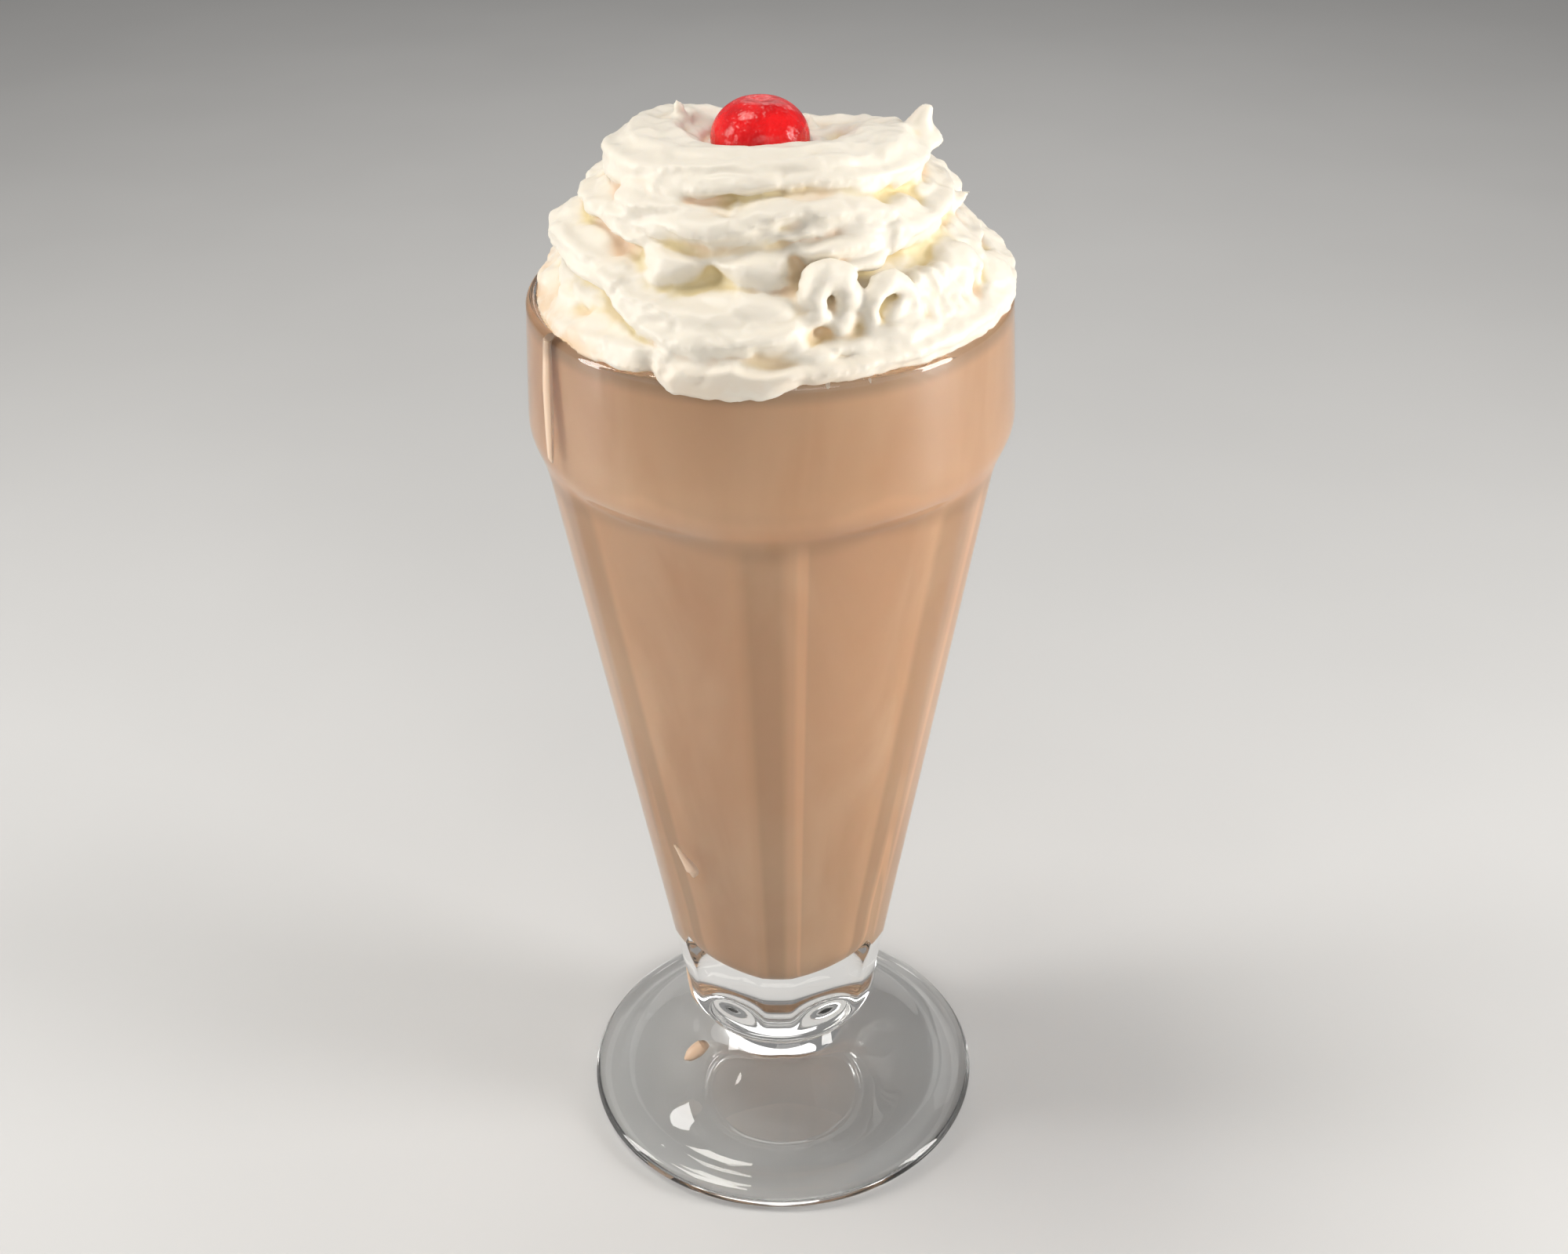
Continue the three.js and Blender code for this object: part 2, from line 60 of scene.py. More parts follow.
class Value:
    """A socket of a node tree that takes part in Python expressions."""

    def __init__(self, sheet: "NodeSheet", socket: bpy.types.NodeSocket) -> None:
        """Wraps a socket of the sheet."""
        self.sheet = sheet
        self.socket = socket

    def math(self, operation: str, *others: object) -> "Value":
        """Adds one Math node with this value as its first input."""
        return self.sheet.math(operation, self, *others)

    def __add__(self, other: object) -> "Value":
        """self + other."""
        return self.math("ADD", other)

    __radd__ = __add__

    def __sub__(self, other: object) -> "Value":
        """self - other."""
        return self.math("SUBTRACT", other)

    def __rsub__(self, other: object) -> "Value":
        """other - self."""
        return self.sheet.math("SUBTRACT", other, self)

    def __mul__(self, other: object) -> "Value":
        """self * other."""
        return self.math("MULTIPLY", other)

    __rmul__ = __mul__

    def __truediv__(self, other: object) -> "Value":
        """self / other."""
        return self.math("DIVIDE", other)

    def __rtruediv__(self, other: object) -> "Value":
        """other / self."""
        return self.sheet.math("DIVIDE", other, self)

    def __abs__(self) -> "Value":
        """The value without its sign."""
        return self.math("ABSOLUTE")

    def held(self) -> "Value":
        """The same value held between 0 and 1."""
        return self.sheet.math("ADD", self, 0.0, clamp=True)

    def ramp(self, low: float, high: float) -> "Value":
        """Rises smoothly from 0 at low to 1 at high, or falls where low is above high."""
        flat = ((self - low) / (high - low)).held()
        return flat * flat * (3.0 - 2.0 * flat)


class NodeSheet:
    """A node tree that is drawn with one call a node."""

    def __init__(self, tree: bpy.types.NodeTree) -> None:
        """Wraps an empty node tree."""
        self.tree = tree

    def add(
        self,
        kind: str,
        settings: dict[str, object] | None = None,
        sockets: dict[int | str, object] | None = None,
    ) -> bpy.types.Node:
        """Adds a node.

        Args:
            kind: the node's type.
            settings: its own settings, set before its sockets.
            sockets: a number, a colour, a vector or a Value for each input named.

        Returns:
            The node.
        """
        node = self.tree.nodes.new(kind)
        for name, value in (settings or {}).items():
            setattr(node, name, value)
        for key, value in (sockets or {}).items():
            if isinstance(value, Value):
                self.tree.links.new(value.socket, node.inputs[key])
            else:
                self.fill(node.inputs[key], value)
        return node

    @staticmethod
    def fill(socket: bpy.types.NodeSocket, value: object) -> None:
        """Gives a socket a value of its own. A colour of three numbers is opaque."""
        opaque = socket.type == "RGBA" and len(value) == 3
        socket.default_value = (*value, 1.0) if opaque else value

    def get(self, kind: str, settings: dict | None = None, sockets: dict | None = None) -> Value:
        """Adds a node, as add does, and gives its first output."""
        return Value(self, self.add(kind, settings, sockets).outputs[0])

    def math(self, operation: str, *operands: object, clamp: bool = False) -> Value:
        """Adds one Math node.

        Args:
            operation: the node's operation.
            operands: its inputs, in order, as numbers or values.
            clamp: whether the result is held between 0 and 1.

        Returns:
            The node's result.
        """
        settings = {"operation": operation, "use_clamp": clamp}
        return self.get("ShaderNodeMath", settings, dict(enumerate(operands)))

    def mix(self, share: object, first: object, second: object) -> Value:
        """Mixes two colours by a share between 0 and 1."""
        settings = {"data_type": "RGBA", "clamp_factor": True}
        node = self.add("ShaderNodeMix", settings, {0: share, 6: first, 7: second})
        return Value(self, node.outputs[2])

    def vector(self, operation: str, *operands: object) -> Value:
        """Adds one Vector Math node and gives its first output."""
        settings = {"operation": operation}
        return self.get("ShaderNodeVectorMath", settings, dict(enumerate(operands)))

    def scaled(self, vector: Value, share: Value) -> Value:
        """A vector or a colour times a number."""
        sockets = {0: vector, "Scale": share}
        return self.get("ShaderNodeVectorMath", {"operation": "SCALE"}, sockets)


class MaterialSheet(NodeSheet):
    """The node tree of one material, with its shader."""

    def __init__(self, name: str, shader: dict[str, object]) -> None:
        """Starts a material.

        Args:
            name: the material's name.
            shader: constant values of the Principled shader's sockets.
        """
        self.material = bpy.data.materials.new(name)
        self.material.use_nodes = True
        super().__init__(self.material.node_tree)
        self.tree.nodes.clear()
        self.shader = self.add("ShaderNodeBsdfPrincipled", {}, shader)
        surface = Value(self, self.shader.outputs[0])
        self.add("ShaderNodeOutputMaterial", {}, {"Surface": surface})

    def feed(self, socket: str, value: Value) -> None:
        """Links a value to a socket of the shader."""
        self.tree.links.new(value.socket, self.shader.inputs[socket])

    def place(self) -> Value:
        """Where a point lies on its object, in metres."""
        return Value(self, self.add("ShaderNodeTexCoord").outputs["Object"])

    def coordinates(self) -> list[Value]:
        """The x, y and z of a point on its object, in metres."""
        split = self.add("ShaderNodeSeparateXYZ", {}, {0: self.place()})
        return [Value(self, output) for output in split.outputs]

    def noise(self, scale: float, detail: float = 2.0) -> Value:
        """Smooth noise between about 0 and 1, with a number of waves a metre."""
        sockets = {"Vector": self.place(), "Scale": scale, "Detail": detail}
        return self.get("ShaderNodeTexNoise", {}, sockets)

    def attribute(self, name: str) -> Value:
        """A number stored on the mesh."""
        node = self.add("ShaderNodeAttribute", {"attribute_name": name})
        return Value(self, node.outputs["Fac"])

    def bump(self, height: Value, distance: float, strength: float) -> None:
        """Raises the surface by a height map, in metres."""
        sockets = {"Height": height, "Distance": distance, "Strength": strength}
        self.feed("Normal", self.get("ShaderNodeBump", {}, sockets))


class GeometrySheet(NodeSheet):
    """A Geometry Nodes tree with named inputs."""

    def __init__(self, name: str, inputs: dict[str, str]) -> None:
        """Starts a tree.

        Args:
            name: the tree's name.
            inputs: the socket type of each named input after the geometry.
        """
        tree = bpy.data.node_groups.new(name, "GeometryNodeTree")
        super().__init__(tree)
        tree.interface.new_socket("Geometry", in_out="INPUT", socket_type="NodeSocketGeometry")
        for label, kind in inputs.items():
            tree.interface.new_socket(label, in_out="INPUT", socket_type=kind)
        tree.interface.new_socket("Geometry", in_out="OUTPUT", socket_type="NodeSocketGeometry")
        self.inputs = self.add("NodeGroupInput")

    def input(self, name: str) -> Value:
        """One of the tree's named inputs."""
        return Value(self, self.inputs.outputs[name])

    def named(self, name: str) -> Value:
        """A number stored on the geometry."""
        settings = {"data_type": "FLOAT"}
        return self.get("GeometryNodeInputNamedAttribute", settings, {"Name": name})

    def stored(self, geometry: Value, name: str, value: Value) -> Value:
        """The geometry with a number stored on each of its points."""
        settings = {"data_type": "FLOAT", "domain": "POINT"}
        sockets = {"Geometry": geometry, "Name": name, "Value": value}
        return self.get("GeometryNodeStoreNamedAttribute", settings, sockets)

    def moved(self, geometry: Value, socket: str, vector: Value) -> Value:
        """The geometry with its points set to a "Position" or moved by an "Offset"."""
        return self.get("GeometryNodeSetPosition", {}, {"Geometry": geometry, socket: vector})

    def outline(self) -> Value:
        """The edges of the geometry that enters the tree, as a curve."""
        return self.get("GeometryNodeMeshToCurve", {}, {0: self.input("Geometry")})

    def circle(self, sides: Value) -> Value:
        """A circle with a radius of 1, as a curve."""
        sockets = {"Resolution": sides, "Radius": 1.0}
        return self.get("GeometryNodeCurvePrimitiveCircle", {}, sockets)

    def finish(self, geometry: Value) -> None:
        """Ends the tree in real geometry with the material that its input names."""
        real = self.get("GeometryNodeRealizeInstances", {}, {"Geometry": geometry})
        sockets = {"Geometry": real, "Material": self.input("Material")}
        dressed = self.get("GeometryNodeSetMaterial", {}, sockets)
        self.add("NodeGroupOutput", {}, {0: dressed})

    def grow(self, source: bpy.types.Object, values: dict[str, object]) -> None:
        """Puts the tree on an object as a modifier.

        Args:
            source: the object whose geometry enters the tree.
            values: a value for each named input.
        """
        modifier = source.modifiers.new(self.tree.name, "NODES")
        modifier.node_group = self.tree
        for item in self.tree.interface.items_tree:
            if item.in_out == "INPUT" and item.name in values:
                modifier[item.identifier] = values[item.name]


# Meshes


@dataclass
class Shell:
    """A closed surface: points in millimetres, and faces as lists of point numbers."""

    points: np.ndarray
    faces: list[tuple[int, ...]]

    def volume(self) -> float:
        """Signed volume, which is negative where the faces look inwards."""
        total = 0.0
        for face in self.faces:
            first = self.points[face[0]]
            for second, third in zip(face[1:-1], face[2:]):
                total += np.dot(first, np.cross(self.points[second], self.points[third]))
        return total / 6.0

    def outward(self) -> "Shell":
        """The same shell with its faces looking outwards."""
        if self.volume() < 0.0:
            return Shell(self.points, [tuple(reversed(face)) for face in self.faces])
        return self


def stacked(x: object, y: object, z: object) -> np.ndarray:
    """Points from arrays of their coordinates, which are stretched to one shape."""
    return np.stack(np.broadcast_arrays(x, y, z), axis=-1)


def place(bearing: object, radius: object, height: object) -> np.ndarray:
    """Points from bearings in degrees, distances from the axis and heights."""
    angle = np.radians(bearing)
    return stacked(radius * np.sin(angle), -radius * np.cos(angle), height)


def bearings(points: np.ndarray) -> np.ndarray:
    """Bearings of points, in degrees."""
    return np.degrees(np.arctan2(points[:, 0], -points[:, 1]))


def turn_from(start: float, bearing: np.ndarray) -> np.ndarray:
    """Turns from one bearing to others the short way round, in degrees."""
    return (bearing - start + 180.0) % 360.0 - 180.0


def bell(distance: np.ndarray, width: float) -> np.ndarray:
    """A bell shape: 1 at no distance, and about a third at its width."""
    return np.exp(-((distance / width) ** 2))


def unit(vectors: np.ndarray) -> np.ndarray:
    """The same directions with length 1."""
    return vectors / np.linalg.norm(vectors, axis=-1, keepdims=True)


def circle(step: float) -> np.ndarray:
    """Angles once round in steps of so many degrees, in radians."""
    return np.radians(np.arange(0.0, 360.0, step))


def tilts(levels: int) -> np.ndarray:
    """Tilts from pole to pole without the poles, as a column in radians."""
    return np.radians(np.linspace(-90.0, 90.0, levels)[1:-1])[:, None]


def smooth_path(stations: np.ndarray, along: np.ndarray) -> np.ndarray:
    """Smooth curve through stations.

    Args:
        stations: one row a station.
        along: shares of the way, from 0 to 1.

    Returns:
        One row for each share.
    """
    last = len(stations) - 1
    spot = np.clip(along, 0.0, 1.0) * last
    index = np.minimum(spot.astype(int), last - 1)
    part = (spot - index)[:, None]
    padded = np.vstack([2 * stations[0] - stations[1], stations, 2 * stations[-1] - stations[-2]])
    before, here, there, after = (padded[index + shift] for shift in range(4))
    return 0.5 * (
        2 * here
        + (there - before) * part
        + (2 * before - 5 * here + 4 * there - after) * part**2
        + (3 * here - before - 3 * there + after) * part**3
    )


def loft(rings: np.ndarray, poles: Sequence[Sequence[float]] = ()) -> Shell:
    """Closed surface through rings of points.

    Args:
        rings: an array of rings, points and coordinates.
        poles: the point before the first ring and the one after the last. Without them,
            the last ring joins the first.

    Returns:
        The shell, looking outwards.
    """
    levels, count, _ = rings.shape
    points = rings.reshape(-1, 3)
    faces = []
    for level in range(levels - 1 if len(poles) else levels):
        here, there = level * count, ((level + 1) % levels) * count
        for step in range(count):
            after = (step + 1) % count
            faces.append((here + step, here + after, there + after, there + step))
    if len(poles):
        first, last = len(points), len(points) + 1
        points = np.vstack([points, *poles])
        top = (levels - 1) * count
        for step in range(count):
            after = (step + 1) % count
            faces.append((first, after, step))
            faces.append((last, top + step, top + after))
    return Shell(points, faces).outward()


def add_object(name: str, data: bpy.types.ID) -> bpy.types.Object:
    """Adds an object with its mesh, light or camera to the scene."""
    piece = bpy.data.objects.new(name, data)
    bpy.context.scene.collection.objects.link(piece)
    return piece


def make_object(name: str, shells: Iterable[Shell]) -> bpy.types.Object:
    """One mesh object from shells in millimetres.

    Args:
        name: the object's name.
        shells: its closed surfaces.

    Returns:
        The object, linked to the scene.
    """
    points, faces, start = [], [], 0
    for shell in shells:
        points.append(shell.points)
        faces.extend(tuple(start + corner for corner in face) for face in shell.faces)
        start += len(shell.points)
    mesh = bpy.data.meshes.new(name)
    mesh.from_pydata((np.vstack(points) * MM).tolist(), [], faces)
    mesh.validate()
    return add_object(name, mesh)


def read_points(mesh: bpy.types.Mesh) -> np.ndarray:
    """The points of a mesh, in millimetres."""
    points = np.empty(len(mesh.vertices) * 3)
    mesh.vertices.foreach_get("co", points)
    return points.reshape(-1, 3) / MM


def write_points(mesh: bpy.types.Mesh, points: np.ndarray) -> None:
    """Moves the points of a mesh to places in millimetres."""
    mesh.vertices.foreach_set("co", (points * MM).ravel())
    mesh.update()


def settle(piece: bpy.types.Object) -> None:
    """Turns an object with modifiers into a plain mesh, and removes the modifiers."""
    bpy.context.view_layer.update()
    graph = bpy.context.evaluated_depsgraph_get()
    solid = bpy.data.meshes.new_from_object(piece.evaluated_get(graph))
    piece.modifiers.clear()
    piece.data = solid
    solid.name = piece.name


def face_outwards(piece: bpy.types.Object, smooth_angle: float) -> None:
    """Turns the faces outwards and shades them smooth, but for edges that turn sharply.

    Args:
        piece: a mesh object.
        smooth_angle: the largest turn that stays smooth, in degrees.
    """
    work = bmesh.new()
    work.from_mesh(piece.data)
    bmesh.ops.recalc_face_normals(work, faces=work.faces)
    if work.calc_volume(signed=True) < 0.0:
        bmesh.ops.reverse_faces(work, faces=work.faces)
    work.to_mesh(piece.data)
    work.free()
    piece.data.shade_smooth()
    piece.data.set_sharp_from_angle(angle=math.radians(smooth_angle))


def keep(piece: bpy.types.Object, node: str | None) -> None:
    """Ties a finished piece to the part.

    Args:
        piece: the finished piece.
        node: the solid that it stands for, if any.
    """
    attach(piece, BODY)
    if node:
        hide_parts(node)
    LOG.info("%s: %d faces, for %s", piece.name, len(piece.data.polygons), node or "no solid")


# Finishes


@dataclass(frozen=True)
class ClearGlass:
    """Clear pressed glass, very slightly wavy and smeared."""

    tint: Colour = (0.985, 0.992, 0.99)
    ior: float = 1.5
    roughness: float = 0.012
    smear_scale: float = 28.0
    smear_span: Span = (0.45, 0.8)
    smear_roughness: float = 0.035
    wave_scale: float = 55.0
    wave_height: float = 0.00004

    def make(self) -> bpy.types.Material:
        """The material."""
        sheet = MaterialSheet(
            "clear_glass",
            {"Base Color": self.tint, "Transmission Weight": 1.0, "IOR": self.ior},
        )
        smear = sheet.noise(self.smear_scale, detail=3.0).ramp(*self.smear_span)
        sheet.feed("Roughness", self.roughness + smear * self.smear_roughness)
        sheet.bump(sheet.noise(self.wave_scale), self.wave_height, strength=1.0)
        return sheet.material


@dataclass(frozen=True)
class MilkshakeFinish:
    """Thick milkshake, a soft tan with faint streaks, with the glass's shade and light painted in.

    Each span holds where a shade begins and where it is whole: bearings in degrees,
    heights in metres, or values of a noise. The other heights are in metres too.
    """

    name: str = "milkshake"
    dark: Colour = (0.74, 0.435, 0.24)
    light: Colour = (0.83, 0.54, 0.325)
    streak_scale: float = 60.0
    streak_span: Span = (0.3, 0.75)
    streak_stretch: tuple[float, float, float] = (1.0, 1.0, 0.35)
    roughness: float = 0.32
    streak_roughness: float = 0.12
    # From here on: where painted shade and painted light lines fall on the drink, and how strong
    # they are.
    rib_bearing: float = -1.8
    rib_pitch: float = 60.0
    rib_half_angle: float = 7.5
    panel_top: Span = (0.170, 0.164)
    rib_middle: float = -1.0
    rib_span: Span = (8.0, 3.5)
    rib_shade: float = 0.19
    edge_line: float = 8.5
    edge_span: Span = (2.0, 0.6)
    edge_side: Span = (-50.0, -5.0)
    edge_light: float = 0.14
    crease_height: float = 0.1668
    crease_rise: float = 0.0023
    crease_span: Span = (0.0042, 0.0002)
    crease_shade: float = 0.12
    bevel_above_crease: float = 0.0045
    bevel_span: Span = (0.003, 0.001)
    bevel_light: float = 0.08
    low_span: Span = (0.13, 0.05)
    low_shade: float = 0.14
    lip_span: Span = (0.1945, 0.1975)
    lip_shade: float = 0.3

    def painted_shade_and_light(self, sheet: MaterialSheet) -> Value:
        """Painted shade and light as a factor of about 1: ribs, bevel and lip of the glass, and the
        bottom.
        """
        x, y, height = sheet.coordinates()
        bearing = x.math("ARCTAN2", -1.0 * y) * math.degrees(1.0)
        half = self.rib_pitch / 2.0
        turned = bearing - self.rib_bearing + half
        turn = turned.math("FLOORED_MODULO", self.rib_pitch) - half
        # Painted shade in a band under each rib, and painted light lines at the rib edges, fading
        # out to the left.
        rib = abs(turn - self.rib_middle).ramp(*self.rib_span)
        edge = abs(turn - self.edge_line).ramp(*self.edge_span) * bearing.ramp(*self.edge_side)
        ribs = height.ramp(*self.panel_top) * (edge * self.edge_light - rib * self.rib_shade)
        # Painted shade along the crease under the band, and a painted light line along the bevel
        # above it.
        from_rib = 1.0 - ((half - abs(turn)) / (half - self.rib_half_angle)).held()
        above = height - self.crease_height - self.crease_rise * from_rib * from_rib
        crease = abs(above).ramp(*self.crease_span) * self.crease_shade
        bevel = abs(above - self.bevel_above_crease).ramp(*self.bevel_span) * self.bevel_light
        # Painted shade towards the bottom and just under the lip.
        low = height.ramp(*self.low_span) * self.low_shade
        return 1.0 + ribs - crease + bevel - low - height.ramp(*self.lip_span) * self.lip_shade

    def make(self) -> bpy.types.Material:
        """The material."""
        sheet = MaterialSheet(
            self.name,
            {
                "Subsurface Weight": 0.2,
                "Subsurface Radius": (1.0, 0.7, 0.45),
                "Subsurface Scale": 0.002,
                "Specular IOR Level": 0.35,
            },
        )
        upright = sheet.vector("MULTIPLY", sheet.place(), self.streak_stretch)
        sockets = {"Vector": upright, "Scale": self.streak_scale, "Detail": 3.0, "Distortion": 0.6}
        streaks = sheet.get("ShaderNodeTexNoise", {}, sockets)
        body = sheet.mix(streaks.ramp(*self.streak_span), self.dark, self.light)
        # The streaked colour times the painted shade and light.
        sheet.feed("Base Color", sheet.scaled(body, self.painted_shade_and_light(sheet)))
        sheet.feed("Roughness", self.roughness + streaks * self.streak_roughness)
        return sheet.material


@dataclass(frozen=True)
class CreamFinish:
    """Whipped cream: off-white, with warm painted shade in its hollows, tan where it touches the
    drink.
    """

    lit: Colour = (0.84, 0.785, 0.685)
    hollow_shade: Colour = (0.74, 0.62, 0.36)
    pink_hollow_shade: Colour = (0.78, 0.60, 0.44)
    stained: Colour = (0.76, 0.53, 0.33)
    hollow_shade_span: Span = (0.05, 0.8)
    hollow_shade_share: float = 0.6
    hollow_shade_patches: float = 0.7
    tint_span: Span = (0.4, 0.6)
    stain_height: Span = (0.205, 0.1985)
    stain_side: Span = (-0.022, -0.036)
    stain_elsewhere: float = 0.25
    stain_patches: Span = (0.35, 0.6)
    patch_scale: float = 170.0
    patch_roughness: float = 0.16
    roughness: float = 0.36
    tint_scale: float = 60.0
    grain_scale: float = 1500.0
    grain_share: float = 0.12
    relief: float = 0.0002

    def make(self) -> bpy.types.Material:
        """The material."""
        sheet = MaterialSheet(
            "whipped_cream",
            {
                "Subsurface Weight": 0.15,
                "Subsurface Radius": (1.0, 0.8, 0.55),
                "Subsurface Scale": 0.001,
                "Specular IOR Level": 0.4,
            },
        )
        x, _, height = sheet.coordinates()
        # Painted shade: the hollows that the skin tree marks turn towards a warm yellow or pink
        # shade colour, more in some patches.
        patches = sheet.noise(self.patch_scale, detail=3.0)
        share = self.hollow_shade_share + self.hollow_shade_patches * patches
        depth = sheet.attribute("hollow_shade").ramp(*self.hollow_shade_span) * share
        tints = sheet.noise(self.tint_scale, detail=1.0).ramp(*self.tint_span)
        body = sheet.mix(depth, self.lit, sheet.mix(tints, self.hollow_shade, self.pink_hollow_shade))
        elsewhere = self.stain_elsewhere
        at_side = elsewhere + (1.0 - elsewhere) * x.ramp(*self.stain_side)
        stain = height.ramp(*self.stain_height) * at_side * patches.ramp(*self.stain_patches)
        sheet.feed("Base Color", sheet.mix(stain, body, self.stained))
        sheet.feed("Roughness", self.roughness + patches * self.patch_roughness)
        grain = sheet.noise(self.grain_scale) * self.grain_share
        sheet.bump(patches + grain, self.relief, strength=0.5)
        return sheet.material


@dataclass(frozen=True)
class CherryFinish:
    """A wet, bright red cocktail cherry."""

    bright: Colour = (0.86, 0.010, 0.012)
    deep: Colour = (0.60, 0.003, 0.006)
    cloud_scale: float = 230.0
    cloud_span: Span = (0.35, 0.7)
    cloud_roughness: float = 0.2
    roughness: float = 0.18
    wrinkle_scale: float = 420.0
    wrinkle_share: float = 0.5
    relief: float = 0.0016

    def make(self) -> bpy.types.Material:
        """The material."""
        sheet = MaterialSheet(
            "cherry",
            {
                "Subsurface Weight": 0.35,
                "Subsurface Radius": (1.0, 0.12, 0.1),
                "Subsurface Scale": 0.003,
                "Specular IOR Level": 0.3,
                "Coat Weight": 0.3,
                "Coat Roughness": 0.12,
            },
        )
        clouds = sheet.noise(self.cloud_scale, detail=3.0)
        body = sheet.mix(clouds.ramp(*self.cloud_span), self.bright, self.deep)
        sheet.feed("Base Color", body)
        sheet.feed("Roughness", self.roughness + clouds * self.cloud_roughness)
        wrinkles = sheet.noise(self.wrinkle_scale) * self.wrinkle_share
        sheet.bump(clouds + wrinkles, self.relief, strength=0.8)
        return sheet.material


@dataclass(frozen=True)
class FloorFinish:
    """A plain pale floor."""

    colour: Colour = (0.62, 0.62, 0.62)
    patch_scale: float = 9.0
    patch_span: Span = (0.2, 0.8)
    patch_shade: float = 0.97

    def make(self) -> bpy.types.Material:
        """The material."""
        sheet = MaterialSheet("pale_floor", {"Roughness": 0.75, "Specular IOR Level": 0.2})
        darker = tuple(channel * self.patch_shade for channel in self.colour)
        shade = sheet.noise(self.patch_scale).ramp(*self.patch_span)
        sheet.feed("Base Color", sheet.mix(shade, self.colour, darker))
        return sheet.material


# Glass


@dataclass
class Station:
    """A point of a profile. Round tells a round ring (1) from a panelled one (0)."""

    radius: float
    height: float
    flats: float = 0.0
    round: float = 1.0
    rise: float = 0.0

    def __post_init__(self) -> None:
        """Lets the flats follow the radius where they aren't given."""
        self.flats = self.flats or self.radius


def profile(*spots: tuple[float, ...]) -> list[Station]:
    """Stations from their numbers, in the order of a station's fields."""
    return [Station(*spot) for spot in spots]


def arc(middle: Span, size: float, start: float, end: float, steps: int) -> list[Station]:
    """Stations of a circular arc.

    Args:
        middle: the centre's distance from the axis and its height.
        size: the arc's radius.
        start: its first angle, in degrees.
        end: its last angle, in degrees.
        steps: how many steps it takes.

    Returns:
        The stations, both ends included.
    """
    angles = np.radians(np.linspace(start, end, steps + 1))
    radius, height = middle
    return [Station(radius + size * math.cos(a), height + size * math.sin(a)) for a in angles]


def eased(stations: Sequence[Station], spacing: float, blur: float) -> list[Station]:
    """The same profile in short steps, with its corners rounded.

    Args:
        stations: the corners of the profile.
        spacing: the longest step.
        blur: about how far a corner is rounded to each side.

    Returns:
        The stations of the rounded profile, with the ends where they were.
    """
    table = np.array([astuple(station) for station in stations])
    reach = np.hypot(*np.diff(table[:, :2], axis=0).T)
    along = np.concatenate([[0.0], np.cumsum(reach)])
    fine = np.linspace(0.0, along[-1], int(along[-1] / spacing) + 1)
    dense = np.stack([np.interp(fine, along, column) for column in table.T], axis=1)
    spread = max(1, round(blur / spacing))
    for _ in range(2):
        padded = np.pad(dense, ((spread, spread), (0, 0)), mode="reflect", reflect_type="odd")
        kernel = np.ones(2 * spread + 1) / (2 * spread + 1)
        columns = [np.convolve(column, kernel, mode="valid") for column in padded.T]
        dense = np.stack(columns, axis=1)
    return [Station(*row) for row in dense]


class TurnedTree:
    """A Geometry Nodes tree that turns a profile round the axis, with panels and ribs."""

    weld: float = 1e-6

    def __init__(self) -> None:
        """Draws the tree."""
        self.sheet = GeometrySheet(
            "turned_profile",
            {
                "Steps": "NodeSocketInt",
                "Panels": "NodeSocketFloat",
                "Rib Bearing": "NodeSocketFloat",
                "Rib Half Angle": "NodeSocketFloat",
                "Edge Softness": "NodeSocketFloat",
                "Material": "NodeSocketMaterial",
            },
        )
        self.draw()

    def draw(self) -> None:
        """Adds the nodes: sweep the profile, then set each point by its bearing."""
        sheet = self.sheet
        bearing = sheet.get("GeometryNodeSplineParameter") * (2.0 * math.pi)
        rail = sheet.stored(sheet.circle(sheet.input("Steps")), "bearing", bearing)
        sockets = {"Curve": rail, "Profile Curve": sheet.outline()}
        swept = sheet.get("GeometryNodeCurveToMesh", {}, sockets)
        turned = sheet.moved(swept, "Position", self.spot())
        sockets = {"Geometry": turned, "Distance": self.weld}
        sheet.finish(sheet.get("GeometryNodeMergeByDistance", {}, sockets))

    def spot(self) -> Value:
        """Where each point of the swept profile goes, in metres."""
        sheet = self.sheet
        bearing = sheet.named("bearing")
        half = math.pi / sheet.input("Panels")
        turn = (bearing - sheet.input("Rib Bearing")).math("FLOORED_MODULO", 2.0 * half)
        flat_shape = 1.0 / (turn - half).math("COSINE")
        rib_shape = 1.0 / (half - sheet.input("Rib Half Angle")).math("COSINE")
        shape = flat_shape.math("SMOOTH_MIN", rib_shape, sheet.input("Edge Softness"))
        share = sheet.named("round")
        panelled = sheet.named("flats") * shape
        reach = share * sheet.named("turned_radius") + (1.0 - share) * panelled
        lift = sheet.named("rise") * (shape - 1.0) / (rib_shape - 1.0)
        sockets = {
            "X": reach * bearing.math("SINE"),
            "Y": -1.0 * (reach * bearing.math("COSINE")),
            "Z": sheet.named("turned_height") + lift,
        }
        return sheet.get("ShaderNodeCombineXYZ", {}, sockets)


@dataclass
class GlassSizes:
    """Sizes of the glass, and how finely its profile is drawn.

    The band's lower edge is given as steps from the band's radius and bottom.
    """

    height: float = 200.0
    rim_radius: float = 45.1
    band_radius: float = 46.5
    band_bottom: float = 174.0
    band_edge: tuple[Span, ...] = ((-1.3, -2.0), (-0.3, 0.0), (0.0, 1.4))
    crease_height: float = 167.7
    crease_rise: float = 2.3
    foot_radius: float = 45.4
    foot_edge: float = 2.3
    foot_lift: float = 0.1
    lip: float = 2.8
    panels: int = 6
    rib_bearing: float = -1.8
    rib_half_angle: float = 7.5
    edge_softness: float = 0.005
    reach_top: float = 41.3
    reach_heel: float = 21.5
    heel_top: float = 40.0
    cavity_floor: float = 44.0
    steps: int = 192
    outer_step: float = 0.8
    outer_blur: float = 1.6
    inner_step: float = 1.4
    inner_blur: float = 1.4
    smooth_angle: float = 50.0

    def lip_middle(self) -> Span:
        """Distance from the axis and height of the middle of the rounded lip."""
        return self.rim_radius - self.lip / 2.0, self.height - self.lip / 2.0


